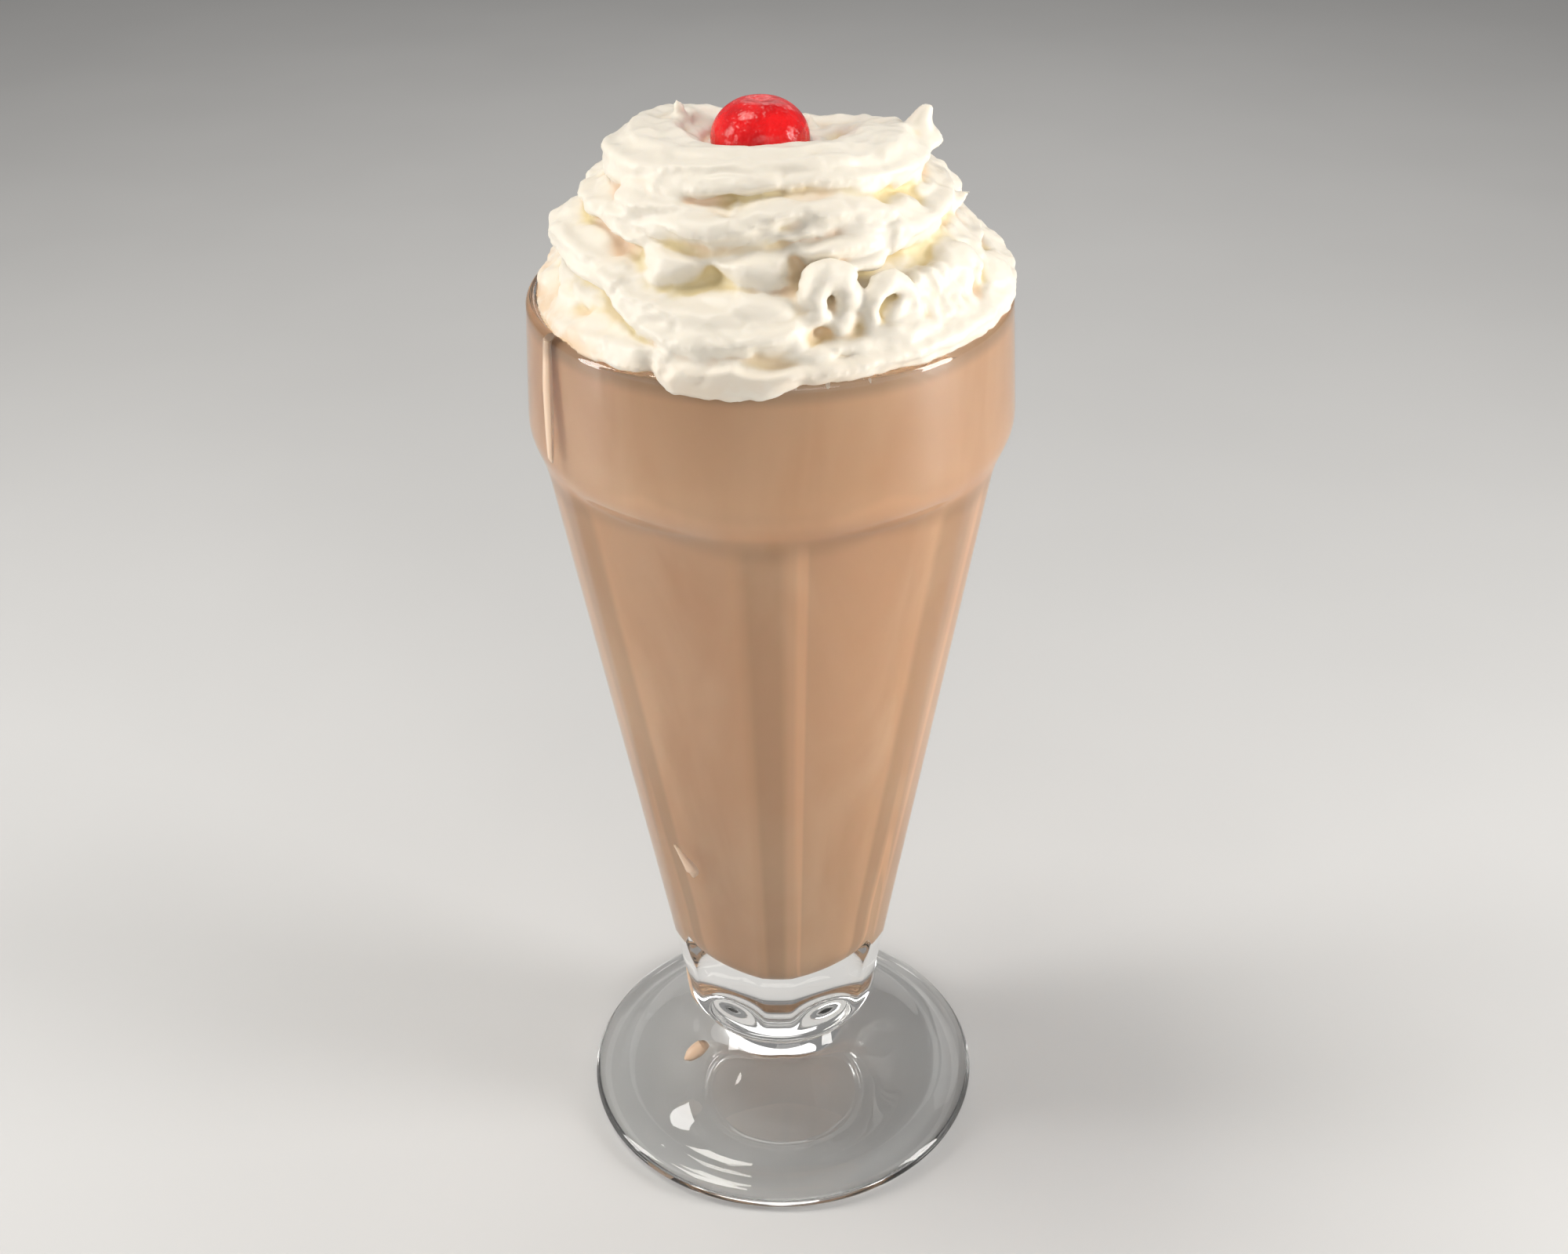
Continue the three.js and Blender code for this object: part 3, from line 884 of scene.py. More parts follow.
class Turned:
    """A piece that is turned from a profile."""

    def __init__(self, sizes: GlassSizes, tree: TurnedTree) -> None:
        """Keeps the sizes and the tree that turns the profile."""
        self.sizes = sizes
        self.tree = tree

    def turn(
        self, name: str, stations: Sequence[Station], material: bpy.types.Material
    ) -> bpy.types.Object:
        """Turns a profile into a closed mesh.

        Args:
            name: the piece's name.
            stations: the profile, from the axis to the axis.
            material: its finish.

        Returns:
            The piece.
        """
        labels = ("turned_radius", "turned_height", "flats", "round", "rise")
        columns = np.array([astuple(station) for station in stations]).T
        columns *= np.array([MM, MM, MM, 1.0, MM])[:, None]
        mesh = bpy.data.meshes.new(name)
        points = stacked(columns[0], 0.0, columns[1]).tolist()
        mesh.from_pydata(points, [(i, i + 1) for i in range(len(points) - 1)], [])
        for label, column in zip(labels, columns):
            attribute = mesh.attributes.new(label, "FLOAT", "POINT")
            attribute.data.foreach_set("value", column.tolist())
        piece = add_object(name, mesh)
        self.tree.sheet.grow(
            piece,
            {
                "Steps": self.sizes.steps,
                "Panels": float(self.sizes.panels),
                "Rib Bearing": math.radians(self.sizes.rib_bearing),
                "Rib Half Angle": math.radians(self.sizes.rib_half_angle),
                "Edge Softness": self.sizes.edge_softness,
                "Material": material,
            },
        )
        settle(piece)
        for label in (*labels, "bearing"):
            found = piece.data.attributes.get(label)
            if found:
                piece.data.attributes.remove(found)
        face_outwards(piece, self.sizes.smooth_angle)
        return piece


class Glass(Turned):
    """The footed glass: foot, neck, heel, six-sided body, plain band and lip."""

    def foot(self) -> list[Station]:
        """Profile of the foot's underside, rim and flange, from the middle outwards and up."""
        edge = self.sizes.foot_edge
        middle = (self.sizes.foot_radius - edge, edge + self.sizes.foot_lift)
        return [
            *profile((0.0, 3.2), (30.0, 2.4), (38.4, 1.3), (39.5, 0.0), (43.2, 0.0)),
            *arc(middle, edge, start=-50.0, end=75.0, steps=10),
            *profile((41.5, 5.0), (38.0, 5.1), (36.2, 5.9)),
        ]

    def dome(self) -> list[Station]:
        """Profile of the foot's dome, up to the neck."""
        return profile((32.0, 9.0), (25.0, 13.2), (18.0, 16.9), (14.4, 19.6), (13.0, 22.4))

    def heel(self) -> list[Station]:
        """Profile of the round heel that swells out of the neck."""
        lower = profile((13.1, 23.0), (15.0, 24.0), (18.6, 25.2), (20.8, 27.4), (21.8, 30.5))
        return [*lower, Station(22.3, 35.2, 21.9)]

    def body(self) -> list[Station]:
        """Profile of the panels, the bevel above them and the band's lower edge."""
        s = self.sizes
        return profile(
            (s.reach_heel, s.heel_top, s.reach_heel, 0.0),
            (s.reach_top, s.crease_height, s.reach_top, 0.0, s.crease_rise),
            *((s.band_radius + out, s.band_bottom + up) for out, up in s.band_edge),
        )

    def inside(self) -> list[Station]:
        """Profile of the inner wall, from the lip down to the middle of its floor."""
        bevel = profile((42.3, 198.0), (41.0, 173.5), (40.1, 170.5), (38.3, 167.0))
        taper = profile((18.6, 60.0), (18.1, 54.0), (17.2, 50.0))
        bowl = profile((15.0, 46.8), (11.2, 45.0), (6.0, 44.2), (0.0, self.sizes.cavity_floor))
        return [*bevel, *taper, *bowl]

    def build(self, material: bpy.types.Material) -> bpy.types.Object:
        """Turns the whole profile."""
        s = self.sizes
        lip = arc(s.lip_middle(), s.lip / 2.0, start=0.0, end=180.0, steps=16)
        outside = [*self.foot(), *self.dome(), *self.heel(), *self.body(), lip[0]]
        lower = eased(outside, s.outer_step, s.outer_blur)
        upper = eased([lip[-1], *self.inside()], s.inner_step, s.inner_blur)
        return self.turn("glass_body", [*lower, *lip[1:-1], *upper], material)

    def outer_reach(self, bearing: float, height: float) -> float:
        """Distance of the outer surface from the axis.

        Args:
            bearing: the bearing, in degrees.
            height: the height, above the foot's flange.

        Returns:
            The distance, in millimetres.
        """
        top = Station(self.sizes.rim_radius, self.sizes.lip_middle()[1])
        stations = [*self.dome(), *self.heel(), *self.body(), top]
        columns = np.array([astuple(station) for station in stations]).T
        radius, _, flats, share, _ = (np.interp(height, columns[1], each) for each in columns)
        half = 180.0 / self.sizes.panels
        turn = (bearing - self.sizes.rib_bearing) % (2.0 * half)
        from_flat = min(abs(turn - half), half - self.sizes.rib_half_angle)
        panelled = flats / math.cos(math.radians(from_flat))
        return share * radius + (1.0 - share) * panelled


class Milkshake(Turned):
    """What fills the glass, reaching just into its wall so that no air gap shows."""

    overlap: float = 0.06
    level: float = 198.0
    wall_top: Span = (42.3, 199.0)
    edge_inset: float = 0.3

    def build(self, glass: Glass, material: bpy.types.Material) -> bpy.types.Object:
        """Turns the inner wall of the glass into the drink."""
        wall = [Station(*self.wall_top), *glass.inside()]
        inner = eased(wall, self.sizes.inner_step, self.sizes.inner_blur)
        wide = [Station(s.radius + self.overlap, s.height - self.overlap) for s in inner]
        sunk = [s for s in wide if s.height <= self.level]
        sunk[-1] = Station(0.0, sunk[-1].height)
        top = profile((0.0, self.level), (sunk[0].radius - self.edge_inset, self.level))
        return self.turn("milkshake_fill", [*top, *sunk], material)


# Cream


class Rope:
    """A rope of cream with faint ribs that wind along it."""

    closed: bool = True
    steps: int = 160
    sides: int = 48
    lobes: int = 8
    lobe_share: float = 0.06
    twist: int = 2
    nudge: float = 0.004

    def sections(self, along: np.ndarray) -> np.ndarray:
        """Bearing, reach, height, half depth and half height of sections part of the way."""
        raise NotImplementedError

    def middle(self, along: np.ndarray) -> np.ndarray:
        """Centre of the rope part of the way along."""
        bearing, reach, height, deep, _ = self.sections(along).T
        return place(bearing, reach - deep, height)

    def shell(self) -> Shell:
        """The rope's surface."""
        along = np.linspace(0.0, 1.0, self.steps + 1)
        along = along[:-1] if self.closed else along[1:-1]
        deep, tall = self.sections(along).T[3:]
        centre = self.middle(along)
        tangent = unit(self.middle(along + self.nudge) - self.middle(along - self.nudge))
        outward = unit(centre * np.array([1.0, 1.0, 0.0]))
        upward = unit(np.cross(outward, tangent))
        side = unit(np.cross(tangent, upward))
        angle = np.radians(np.arange(self.sides) * 360.0 / self.sides)[None, :, None]
        turned = angle * self.lobes + (along * self.twist * 2.0 * math.pi)[:, None, None]
        swell = 1.0 + self.lobe_share * np.cos(turned)
        rings = (
            centre[:, None, :]
            + side[:, None, :] * deep[:, None, None] * np.cos(angle) * swell
            - upward[:, None, :] * tall[:, None, None] * np.sin(angle) * swell
        )
        if self.closed:
            return loft(rings)
        return loft(rings, place(*self.sections(np.array([0.0, 1.0])).T[:3]))


@dataclass
class Swell:
    """A change of a tier near a bearing."""

    at: float
    width: float
    reach: float = 0.0
    height: float = 0.0
    deep: float = 0.0
    tall: float = 0.0


@dataclass
class Tier(Rope):
    """A rope of cream that closes round the heap."""

    reach: float
    height: float
    deep: float
    tall: float
    swells: Sequence[Swell]

    def sections(self, along: np.ndarray) -> np.ndarray:
        """Sections part of the way round."""
        bearing = 360.0 * along
        columns = [bearing]
        for label in ("reach", "height", "deep", "tall"):
            size = np.full_like(bearing, getattr(self, label))
            for swell in self.swells:
                size += getattr(swell, label) * bell(turn_from(swell.at, bearing), swell.width)
            columns.append(size)
        return np.stack(columns, axis=1)


class Fold(Rope):
    """An open rope through stations of bearing, reach, height, half depth and half height."""

    closed: bool = False
    steps: int = 60
    end_share: float = 0.14

    def __init__(self, *stations: tuple[float, ...]) -> None:
        """Keeps the stations."""
        self.stations = np.array(stations)

    def sections(self, along: np.ndarray) -> np.ndarray:
        """Sections part of the way along, which taper to rounded ends."""
        from_end = np.minimum(along, 1.0 - along)
        taper = np.sqrt(np.clip(from_end / self.end_share, 0.0, 1.0))
        bearing, reach, height, deep, tall = smooth_path(self.stations, along).T
        reach = reach - deep * (1.0 - taper)
        return np.stack([bearing, reach, height, deep * taper, tall * taper], axis=1)


@dataclass
class Blob:
    """A small closed shape of cream at its place in the heap."""

    bearing: float
    radius: float
    height: float

    def put(self, rings: np.ndarray, poles: Sequence[Sequence[float]]) -> Shell:
        """The surface through rings, turned to the bearing and moved to its place."""
        shell = loft(rings, poles)
        angle = math.radians(self.bearing)
        turn = np.array([[math.cos(angle), math.sin(angle)], [-math.sin(angle), math.cos(angle)]])
        shell.points[:, :2] = shell.points[:, :2] @ turn
        shell.points += place(self.bearing, self.radius, self.height)
        return shell


@dataclass
class Lump(Blob):
    """A round lump of cream."""

    wide: float
    deep: float
    tall: float

    def shell(self) -> Shell:
        """The lump's surface."""
        tilt, turn = tilts(levels=19), circle(step=12.0)
        rings = stacked(
            self.wide * np.cos(tilt) * np.cos(turn),
            self.deep * np.cos(tilt) * np.sin(turn),
            self.tall * np.sin(tilt),
        )
        return self.put(rings, [(0.0, 0.0, -self.tall), (0.0, 0.0, self.tall)])


@dataclass
class Curl(Blob):
    """A hooked end of a thin rope that stands out of the heap, rooted in it at both ends."""

    size: float
    rise: float
    thick: float
    start: float
    end: float

    def shell(self) -> Shell:
        """The curl's surface."""
        front, rooted = -1.4, 4.0
        corners, steps = 9, 40
        angle = np.radians(np.linspace(self.start, self.end, corners))
        hook = stacked(self.size * np.cos(angle), front, self.rise * np.sin(angle))
        roots = hook[[0, -1]] * np.array([1.0, 0.0, 1.0]) + np.array([0.0, rooted, 0.0])
        path = smooth_path(np.vstack([roots[:1], hook, roots[1:]]), np.linspace(0.0, 1.0, steps))
        tangent = unit(np.gradient(path, axis=0))
        across = unit(np.cross(tangent, np.array([0.0, 1.0, 0.05])))
        other = np.cross(tangent, across)
        turn = circle(step=24.0)[None, :, None]
        rings = path[:, None, :] + self.thick * (
            across[:, None, :] * np.cos(turn) + other[:, None, :] * np.sin(turn)
        )
        return self.put(rings, [path[0], path[-1]])


@dataclass
class Peak(Blob):
    """A pulled-up point where a rope was torn off, leaning outwards."""

    rise: float
    wide: float
    lean: float

    def shell(self) -> Shell:
        """The peak's surface, which is blunt at its tip."""
        tip, sharpness, highest, levels = 0.6, 1.3, 0.96, 12
        up, turn = np.linspace(0.0, highest, levels)[:, None], circle(step=20.0)
        wide = tip + self.wide * (1.0 - up) ** sharpness
        y = wide * np.sin(turn) - self.lean * up**2
        rings = stacked(wide * np.cos(turn), y, self.rise * up)
        return self.put(rings, [(0.0, 0.0, -1.0), (0.0, -self.lean, self.rise)])


@dataclass
class Hollow:
    """A soft pit that is sunk into the heap: its place, its size and its depth."""

    bearing: float
    height: float
    wide: float
    tall: float
    depth: float

    def push(self, bearing: np.ndarray, reach: np.ndarray, height: np.ndarray) -> np.ndarray:
        """How far the surface is pushed in at bearings, distances from the axis and heights."""
        across = np.radians(turn_from(self.bearing, bearing)) * reach / self.wide
        above = (height - self.height) / self.tall
        return self.depth * np.exp(-(across**2) - above**2)


class Groove:
    """A valley that runs through stations of bearing and height."""

    fade_share: float = 0.35

    def __init__(self, tall: float, depth: float, *stations: Span) -> None:
        """Keeps the valley's half height, its depth and its stations."""
        self.tall = tall
        self.depth = depth
        self.turns, self.heights = np.array(stations).T

    def push(self, bearing: np.ndarray, _reach: np.ndarray, height: np.ndarray) -> np.ndarray:
        """How far the surface is pushed in at bearings and heights."""
        first, last = self.turns[0], self.turns[-1]
        middle, half = (first + last) / 2.0, (last - first) / 2.0
        near = turn_from(middle, bearing)
        above = height - np.interp(near + middle, self.turns, self.heights)
        fade = np.clip((half - np.abs(near)) / (self.fade_share * half), 0.0, 1.0)
        return self.depth * fade * (2.0 - fade) * bell(above, self.tall)


class CreamSkinTree:
    """A Geometry Nodes tree that softens and ruffles the heap of cream."""

    crease_scale: float = 75.0
    crease_level: float = 0.1
    ruffle_scale: float = 130.0
    ripple_scale: float = 380.0
    streak_stretch: tuple[float, float, float] = (1.0, 1.0, 2.0)

    def __init__(self) -> None:
        """Draws the tree."""
        self.sheet = GeometrySheet(
            "cream_skin",
            {
                "Soften": "NodeSocketInt",
                "Crisp Blur": "NodeSocketInt",
                "Crispness": "NodeSocketFloat",
                "Ruffle": "NodeSocketFloat",
                "Crease": "NodeSocketFloat",
                "Ripple": "NodeSocketFloat",
                "Hollow Blur": "NodeSocketInt",
                "Hollow Depth": "NodeSocketFloat",
                "Material": "NodeSocketMaterial",
            },
        )
        self.draw()

    def blurred(self, steps: str) -> Value:
        """Positions blurred over their neighbours as often as a named input says."""
        position = self.sheet.get("GeometryNodeInputPosition")
        sockets = {"Value": position, "Iterations": self.sheet.input(steps), "Weight": 1.0}
        settings = {"data_type": "FLOAT_VECTOR"}
        return self.sheet.get("GeometryNodeBlurAttribute", settings, sockets)

    def noise(self, scale: float, detail: float) -> Value:
        """Noise from about -0.5 to 0.5 in level streaks, with a number of waves a metre."""
        position = self.sheet.get("GeometryNodeInputPosition")
        level = self.sheet.vector("MULTIPLY", position, self.streak_stretch)
        sockets = {"Vector": level, "Scale": scale, "Detail": detail, "Distortion": 0.7}
        return self.sheet.get("ShaderNodeTexNoise", {}, sockets) - 0.5

    def draw(self) -> None:
        """Adds the nodes: soften, sharpen, ruffle, then mark the hollows for painted shade."""
        sheet = self.sheet
        soft = sheet.moved(sheet.input("Geometry"), "Position", self.blurred("Soften"))
        position = sheet.get("GeometryNodeInputPosition")
        raised = sheet.vector("SUBTRACT", position, self.blurred("Crisp Blur"))
        crisp = sheet.moved(soft, "Offset", sheet.scaled(raised, sheet.input("Crispness")))
        crease = self.crease_level - abs(self.noise(self.crease_scale, 1.0))
        rise = self.noise(self.ruffle_scale, 1.0) * sheet.input("Ruffle")
        rise = rise + crease * sheet.input("Crease")
        rise = rise + self.noise(self.ripple_scale, 2.0) * sheet.input("Ripple")
        normal = sheet.get("GeometryNodeInputNormal")
        ruffled = sheet.moved(crisp, "Offset", sheet.scaled(normal, rise))
        # How far each point lies below its blurred neighbours, stored as the mask of the painted
        # shade in the hollows.
        inward = sheet.vector("SUBTRACT", self.blurred("Hollow Blur"), position)
        settings = {"operation": "DOT_PRODUCT"}
        dot = sheet.add("ShaderNodeVectorMath", settings, {0: inward, 1: normal})
        depth = Value(sheet, dot.outputs["Value"]) / sheet.input("Hollow Depth")
        marked = sheet.stored(ruffled, "hollow_shade", depth.held())
        sheet.finish(sheet.get("GeometryNodeSetShadeSmooth", {}, {"Geometry": marked}))


@dataclass(frozen=True)
class CreamDetail:
    """How finely the cream is drawn: the size of its voxels, and its rounds of blur."""

    voxel: float
    soften: int
    crisp_blur: int
    hollow_blur: int


FULL_DETAIL = CreamDetail(0.52, 3, 28, 95)


@dataclass
class WhippedCream:
    """The heap of whipped cream: tiers, folds, lumps, curls and peaks fused together.

    The heap under them is a list of distances from the axis and heights. The cream hangs
    over the lip at the droop. Crispness is a share, and the sizes after it are in metres.
    """

    floor: float = 197.6
    reach_limit: float = 46.38
    lip_centre: float = 43.7
    lip_height: float = 198.6
    lip_size: float = 1.42
    lip_drop: float = 0.1
    droop: float = 4.0
    droop_bearing: float = -9.0
    droop_width: float = 9.0
    crispness: float = 0.5
    ruffle: float = 0.0018
    crease: float = 0.0018
    ripple: float = 0.00035
    # The depth of a hollow that takes the full painted shade.
    hollow_depth: float = 0.0012
    heap: Sequence[Span] = (
        (36.0, 197.6),
        (42.2, 197.7),
        (42.2, 199.6),
        (41.0, 201.0),
        (38.2, 206.0),
        (34.6, 213.0),
        (31.0, 219.0),
        (27.0, 223.5),
        (18.0, 226.5),
    )
    heap_peak: float = 227.0
    tiers: Sequence[Tier] = (
        Tier(45.2, 202.2, 7.2, 4.4, [
            Swell(-80, 34, -2.3, -3.0, -1.2, -1.8),
            Swell(-8, 26, 0.6, -1.0, 0.0, -0.5),
        ]),
        Tier(38.8, 208.4, 7.8, 4.6, [
            Swell(-76, 34, 0.9, 4.8, 0.0, -0.4),
            Swell(-18, 34, -2.2, 0.0, -0.8, -0.6),
            Swell(180, 40, 1.0),
        ]),
        Tier(33.4, 218.0, 8.0, 4.2, [
            Swell(-62, 26, 1.2, 1.5, 0.0, -1.0),
            Swell(-17, 15, 1.4, -1.4, -0.9, -2.0),
            Swell(30, 24, 2.4, 1.2, 0.0, 0.4),
            Swell(170, 46, -0.9, -2.2, 0.0, 0.1),
        ]),
        Tier(29.6, 226.0, 8.7, 4.8, [
            Swell(4, 38, -1.9, 1.5, -1.3, -0.6),
            Swell(178, 38, -4.6, -5.2, -0.4, -0.9),
            Swell(122, 34, -1.5, -2.4, 0.0, -0.3),
            Swell(-118, 32, -1.4, -0.5),
        ]),
    )
    folds: Sequence[Fold] = (
        Fold(
            (-64, 32.6, 222.8, 4.0, 2.0),
            (-40, 33.0, 222.8, 4.6, 2.4),
            (-17, 34.2, 221.2, 5.0, 3.2),
            (3, 32.6, 223.8, 4.6, 2.5),
            (26, 31.6, 225.0, 4.4, 2.0),
            (50, 31.0, 224.4, 3.6, 1.6),
        ),
        Fold(
            (2, 31.8, 223.0, 2.4, 1.1),
            (20, 33.4, 224.0, 2.8, 1.4),
            (35, 34.0, 223.2, 2.8, 1.5),
            (41.5, 35.4, 219.8, 2.8, 1.5),
            (35, 36.6, 216.6, 2.8, 1.5),
            (24, 37.0, 215.6, 2.8, 1.4),
            (14, 36.2, 216.6, 2.4, 1.1),
        ),
        Fold(
            (-60, 38.8, 212.4, 5.0, 1.8),
            (-45, 39.6, 211.8, 6.0, 2.4),
            (-31, 42.2, 207.2, 8.0, 5.2),
            (-14, 44.4, 204.8, 10.0, 7.0),
            (3, 43.8, 205.2, 9.0, 6.4),
            (16, 41.0, 206.6, 6.0, 3.8),
        ),
        *(
            Fold(
                (middle - 1.5, 38.8, 213.0, 2.4, 1.4),
                (middle, 40.9, 208.3, 2.6, 1.6),
                (middle + 1.5, 43.6, 203.6, 2.4, 1.4),
            )
            for middle in (42.0, 46.4, 50.8, 55.2)
        ),
    )
    lumps: Sequence[Lump] = (
        Lump(-10, 40.4, 200.2, 14.0, 6.4, 4.6),
        Lump(-4, 35.0, 208.0, 14.0, 6.2, 5.0),
        Lump(-80, 30.8, 213.6, 9.0, 8.8, 5.0),
        Lump(-88, 37.2, 201.0, 6.0, 5.0, 4.0),
        Lump(-66, 36.6, 202.4, 7.0, 5.0, 3.8),
        Lump(-47, 38.0, 202.0, 6.0, 5.0, 3.4),
        Lump(76, 38.2, 203.8, 8.0, 6.8, 5.0),
        Lump(60, 35.4, 208.6, 7.5, 6.4, 5.4),
        Lump(32, 38.0, 204.0, 9.0, 6.4, 4.0),
        Lump(-29, 31.6, 214.2, 8.0, 5.4, 4.2),
        Lump(-4, 31.6, 215.2, 8.0, 5.0, 4.2),
        Lump(158, 33.0, 209.0, 12.0, 8.0, 7.0),
        Lump(-142, 31.0, 212.0, 10.0, 7.0, 6.0),
        Lump(116, 32.0, 213.0, 9.0, 7.0, 6.0),
    )
    curls: Sequence[Curl] = (
        Curl(15.5, 36.4, 211.2, 3.2, 4.6, 2.4, -80, 215),
        Curl(31, 38.0, 208.6, 4.4, 4.2, 1.7, -30, 205),
        Curl(32.5, 38.6, 207.0, 1.7, 2.0, 1.2, -40, 200),
        Curl(33.5, 41.0, 202.4, 3.0, 2.6, 1.5, -10, 190),
    )
    peaks: Sequence[Peak] = (
        Peak(-108, 16.4, 227.0, 5.6, 2.6, 0.6),
        Peak(142, 11.8, 224.0, 4.8, 3.2, 0.0),
        Peak(92, 26.6, 226.4, 6.0, 4.2, 1.6),
        Peak(86, 32.4, 215.0, 3.0, 3.0, 3.6),
        Peak(-74, 21.0, 227.0, 4.4, 4.6, 0.6),
    )
    valleys: Sequence[Hollow | Groove] = (
        Hollow(36, 215.6, 3.0, 1.8, 2.4),
        Hollow(25, 214.2, 3.4, 1.2, 1.8),
        Hollow(-38, 215.2, 3.8, 1.8, 2.0),
        Hollow(-51, 215.0, 2.4, 1.8, 2.0),
        Hollow(-17, 214.0, 6.0, 2.4, 2.0),
        Hollow(7, 216.6, 2.4, 3.0, 2.4),
        Hollow(16.4, 203.4, 2.4, 1.0, 2.2),
        Hollow(12.5, 206.4, 1.3, 1.5, 2.0),
        Hollow(61, 208.0, 1.0, 2.8, 2.0),
        Hollow(60, 221.4, 2.2, 1.6, 2.2),
        Hollow(-60, 221.6, 2.0, 2.4, 1.6),
        Hollow(2, 203.2, 6.5, 0.9, 1.4),
        Hollow(-27, 200.8, 1.2, 2.2, 1.4),
        Groove(
            0.9,
            1.7,
            (-44, 222.4),
            (-22, 223.7),
            (-2, 226.2),
            (14, 226.8),
            (26, 226.4),
            (62, 222.0),
        ),
        Groove(0.9, 1.6, (-50, 219.8), (-17, 217.2), (3, 219.2), (20, 220.6), (42, 219.0)),
        Groove(0.5, 0.8, (-50, 228.6), (-10, 229.8), (20, 229.9), (60, 227.8)),
        Groove(0.9, 1.3, (-100, 220.4), (-70, 217.6), (-50, 219.0)),
        Groove(0.8, 1.2, (-96, 206.0), (-74, 203.2), (-50, 204.6)),
        Groove(0.9, 1.4, (64, 216.4), (90, 214.6), (120, 216.8)),
        Groove(0.8, 1.2, (66, 224.4), (100, 222.0), (140, 223.4)),
        Groove(0.9, 1.4, (96, 209.0), (150, 206.6), (200, 209.4), (244, 207.0)),
        Groove(0.9, 1.5, (130, 218.4), (180, 216.0), (236, 218.6)),
    )

    def heap_shell(self) -> Shell:
        """The plain heap under the ropes."""
        bearing = np.arange(0.0, 360.0, 3.0)
        rings = [place(bearing, radius, height) for radius, height in self.heap]
        return loft(np.array(rings), [(0.0, 0.0, self.floor), (0.0, 0.0, self.heap_peak)])

    def shells(self) -> list[Shell]:
        """Every closed surface that is fused into the heap."""
        parts = (*self.tiers, *self.folds, *self.lumps, *self.curls, *self.peaks)
        return [self.heap_shell(), *(part.shell() for part in parts)]

    def build(self, tree: CreamSkinTree, material: bpy.types.Material) -> bpy.types.Object:
        """Fuses the heap and gives it its skin.

        Args:
            tree: the tree that softens and ruffles it.
            material: its finish.

        Returns:
            The piece.
        """
        detail = FULL_DETAIL
        piece = make_object("cream_heap", self.shells())
        for shape in (self.sink_valleys, self.hold_in):
            fuse = piece.modifiers.new("fuse", "REMESH")
            fuse.mode = "VOXEL"
            fuse.voxel_size = detail.voxel * MM
            settle(piece)
            shape(piece)
        tree.sheet.grow(
            piece,
            {
                "Soften": detail.soften,
                "Crisp Blur": detail.crisp_blur,
                "Crispness": self.crispness,
                "Ruffle": self.ruffle,
                "Crease": self.crease,
                "Ripple": self.ripple,
                "Hollow Blur": detail.hollow_blur,
                "Hollow Depth": self.hollow_depth,
                "Material": material,
            },
        )
        settle(piece)
        self.hold_in(piece)
        return piece

    def sink_valleys(self, piece: bpy.types.Object) -> None:
        """Pushes the surface in at each hollow and groove."""
        points = read_points(piece.data)
        reach = np.hypot(points[:, 0], points[:, 1])
        push = np.zeros(len(points))
        for valley in self.valleys:
            push += valley.push(bearings(points), reach, points[:, 2])
        points[:, :2] *= (1.0 - push / np.maximum(reach, 1.0))[:, None]
        write_points(piece.data, points)

    def hold_in(self, piece: bpy.types.Object) -> None:
        """Keeps the cream above the drink, over the lip and inside its widest reach."""
        points = read_points(piece.data)
        reach = np.hypot(points[:, 0], points[:, 1])
        points[:, :2] *= np.minimum(1.0, self.reach_limit / np.maximum(reach, 0.1))[:, None]
        reach = np.minimum(reach, self.reach_limit)
        droop = self.droop * bell(bearings(points) - self.droop_bearing, self.droop_width)
        from_lip = (reach - self.lip_centre) / self.lip_size
        lip_top = self.lip_height + self.lip_size * np.sqrt(np.clip(1.0 - from_lip**2, 0.0, 1.0))
        outside = self.lip_height - self.lip_drop - droop
        floor = np.where(from_lip < -1.0, self.floor, np.where(from_lip > 1.0, outside, lip_top))
        points[:, 2] = np.maximum(points[:, 2], floor)
        write_points(piece.data, points)


# Cherry and drips


@dataclass
class Cherry:
    """One cherry, sunk into the top of the cream."""

    radius: float = 8.9
    half_height: float = 7.5
    centre: tuple[float, float, float] = (-1.3, 0.0, 227.4)
    dimple: float = 0.9
    dimple_width: float = 0.26
    wobble: float = 0.018
    wobble_start: float = 0.6

    def build(self, material: bpy.types.Material) -> bpy.types.Object:
        """Builds the fruit, with a small dimple where its stem was."""
        tilt, turn = tilts(levels=61), circle(step=3.75)
        flat = np.cos(tilt)
        wobble = 1.0 - self.wobble * (1.0 - np.cos(2.0 * turn + self.wobble_start)) * flat
        dent = self.dimple * bell(flat, self.dimple_width) * (tilt > 0.0)
        rings = stacked(
            self.radius * flat * wobble * np.cos(turn),
            self.radius * flat * wobble * np.sin(turn),
            self.half_height * np.sin(tilt) - dent,
        )
        top = self.half_height - self.dimple
        shell = loft(rings, [(0.0, 0.0, -self.half_height), (0.0, 0.0, top)])
        shell.points += np.array(self.centre)
        piece = make_object("cherry_fruit", [shell])
        piece.data.materials.append(material)
        piece.data.shade_smooth()
        return piece


class DripTree:
    """A Geometry Nodes tree that runs a bead of drink along a path."""

    def __init__(self) -> None:
        """Draws the tree."""
        self.sheet = GeometrySheet(
            "drip",
            {
                "Length Step": "NodeSocketFloat",
                "Sides": "NodeSocketInt",
                "Material": "NodeSocketMaterial",
            },
        )
        sheet = self.sheet
        sockets = {"Curve": sheet.outline(), "Length": sheet.input("Length Step")}
        even = sheet.get("GeometryNodeResampleCurve", {"mode": "LENGTH"}, sockets)
        sockets = {
            "Curve": even,
            "Profile Curve": sheet.circle(sheet.input("Sides")),
            "Scale": sheet.named("bead"),
            "Fill Caps": True,
        }
        swept = sheet.get("GeometryNodeCurveToMesh", {}, sockets)
        sheet.finish(sheet.get("GeometryNodeSetShadeSmooth", {}, {"Geometry": swept}))


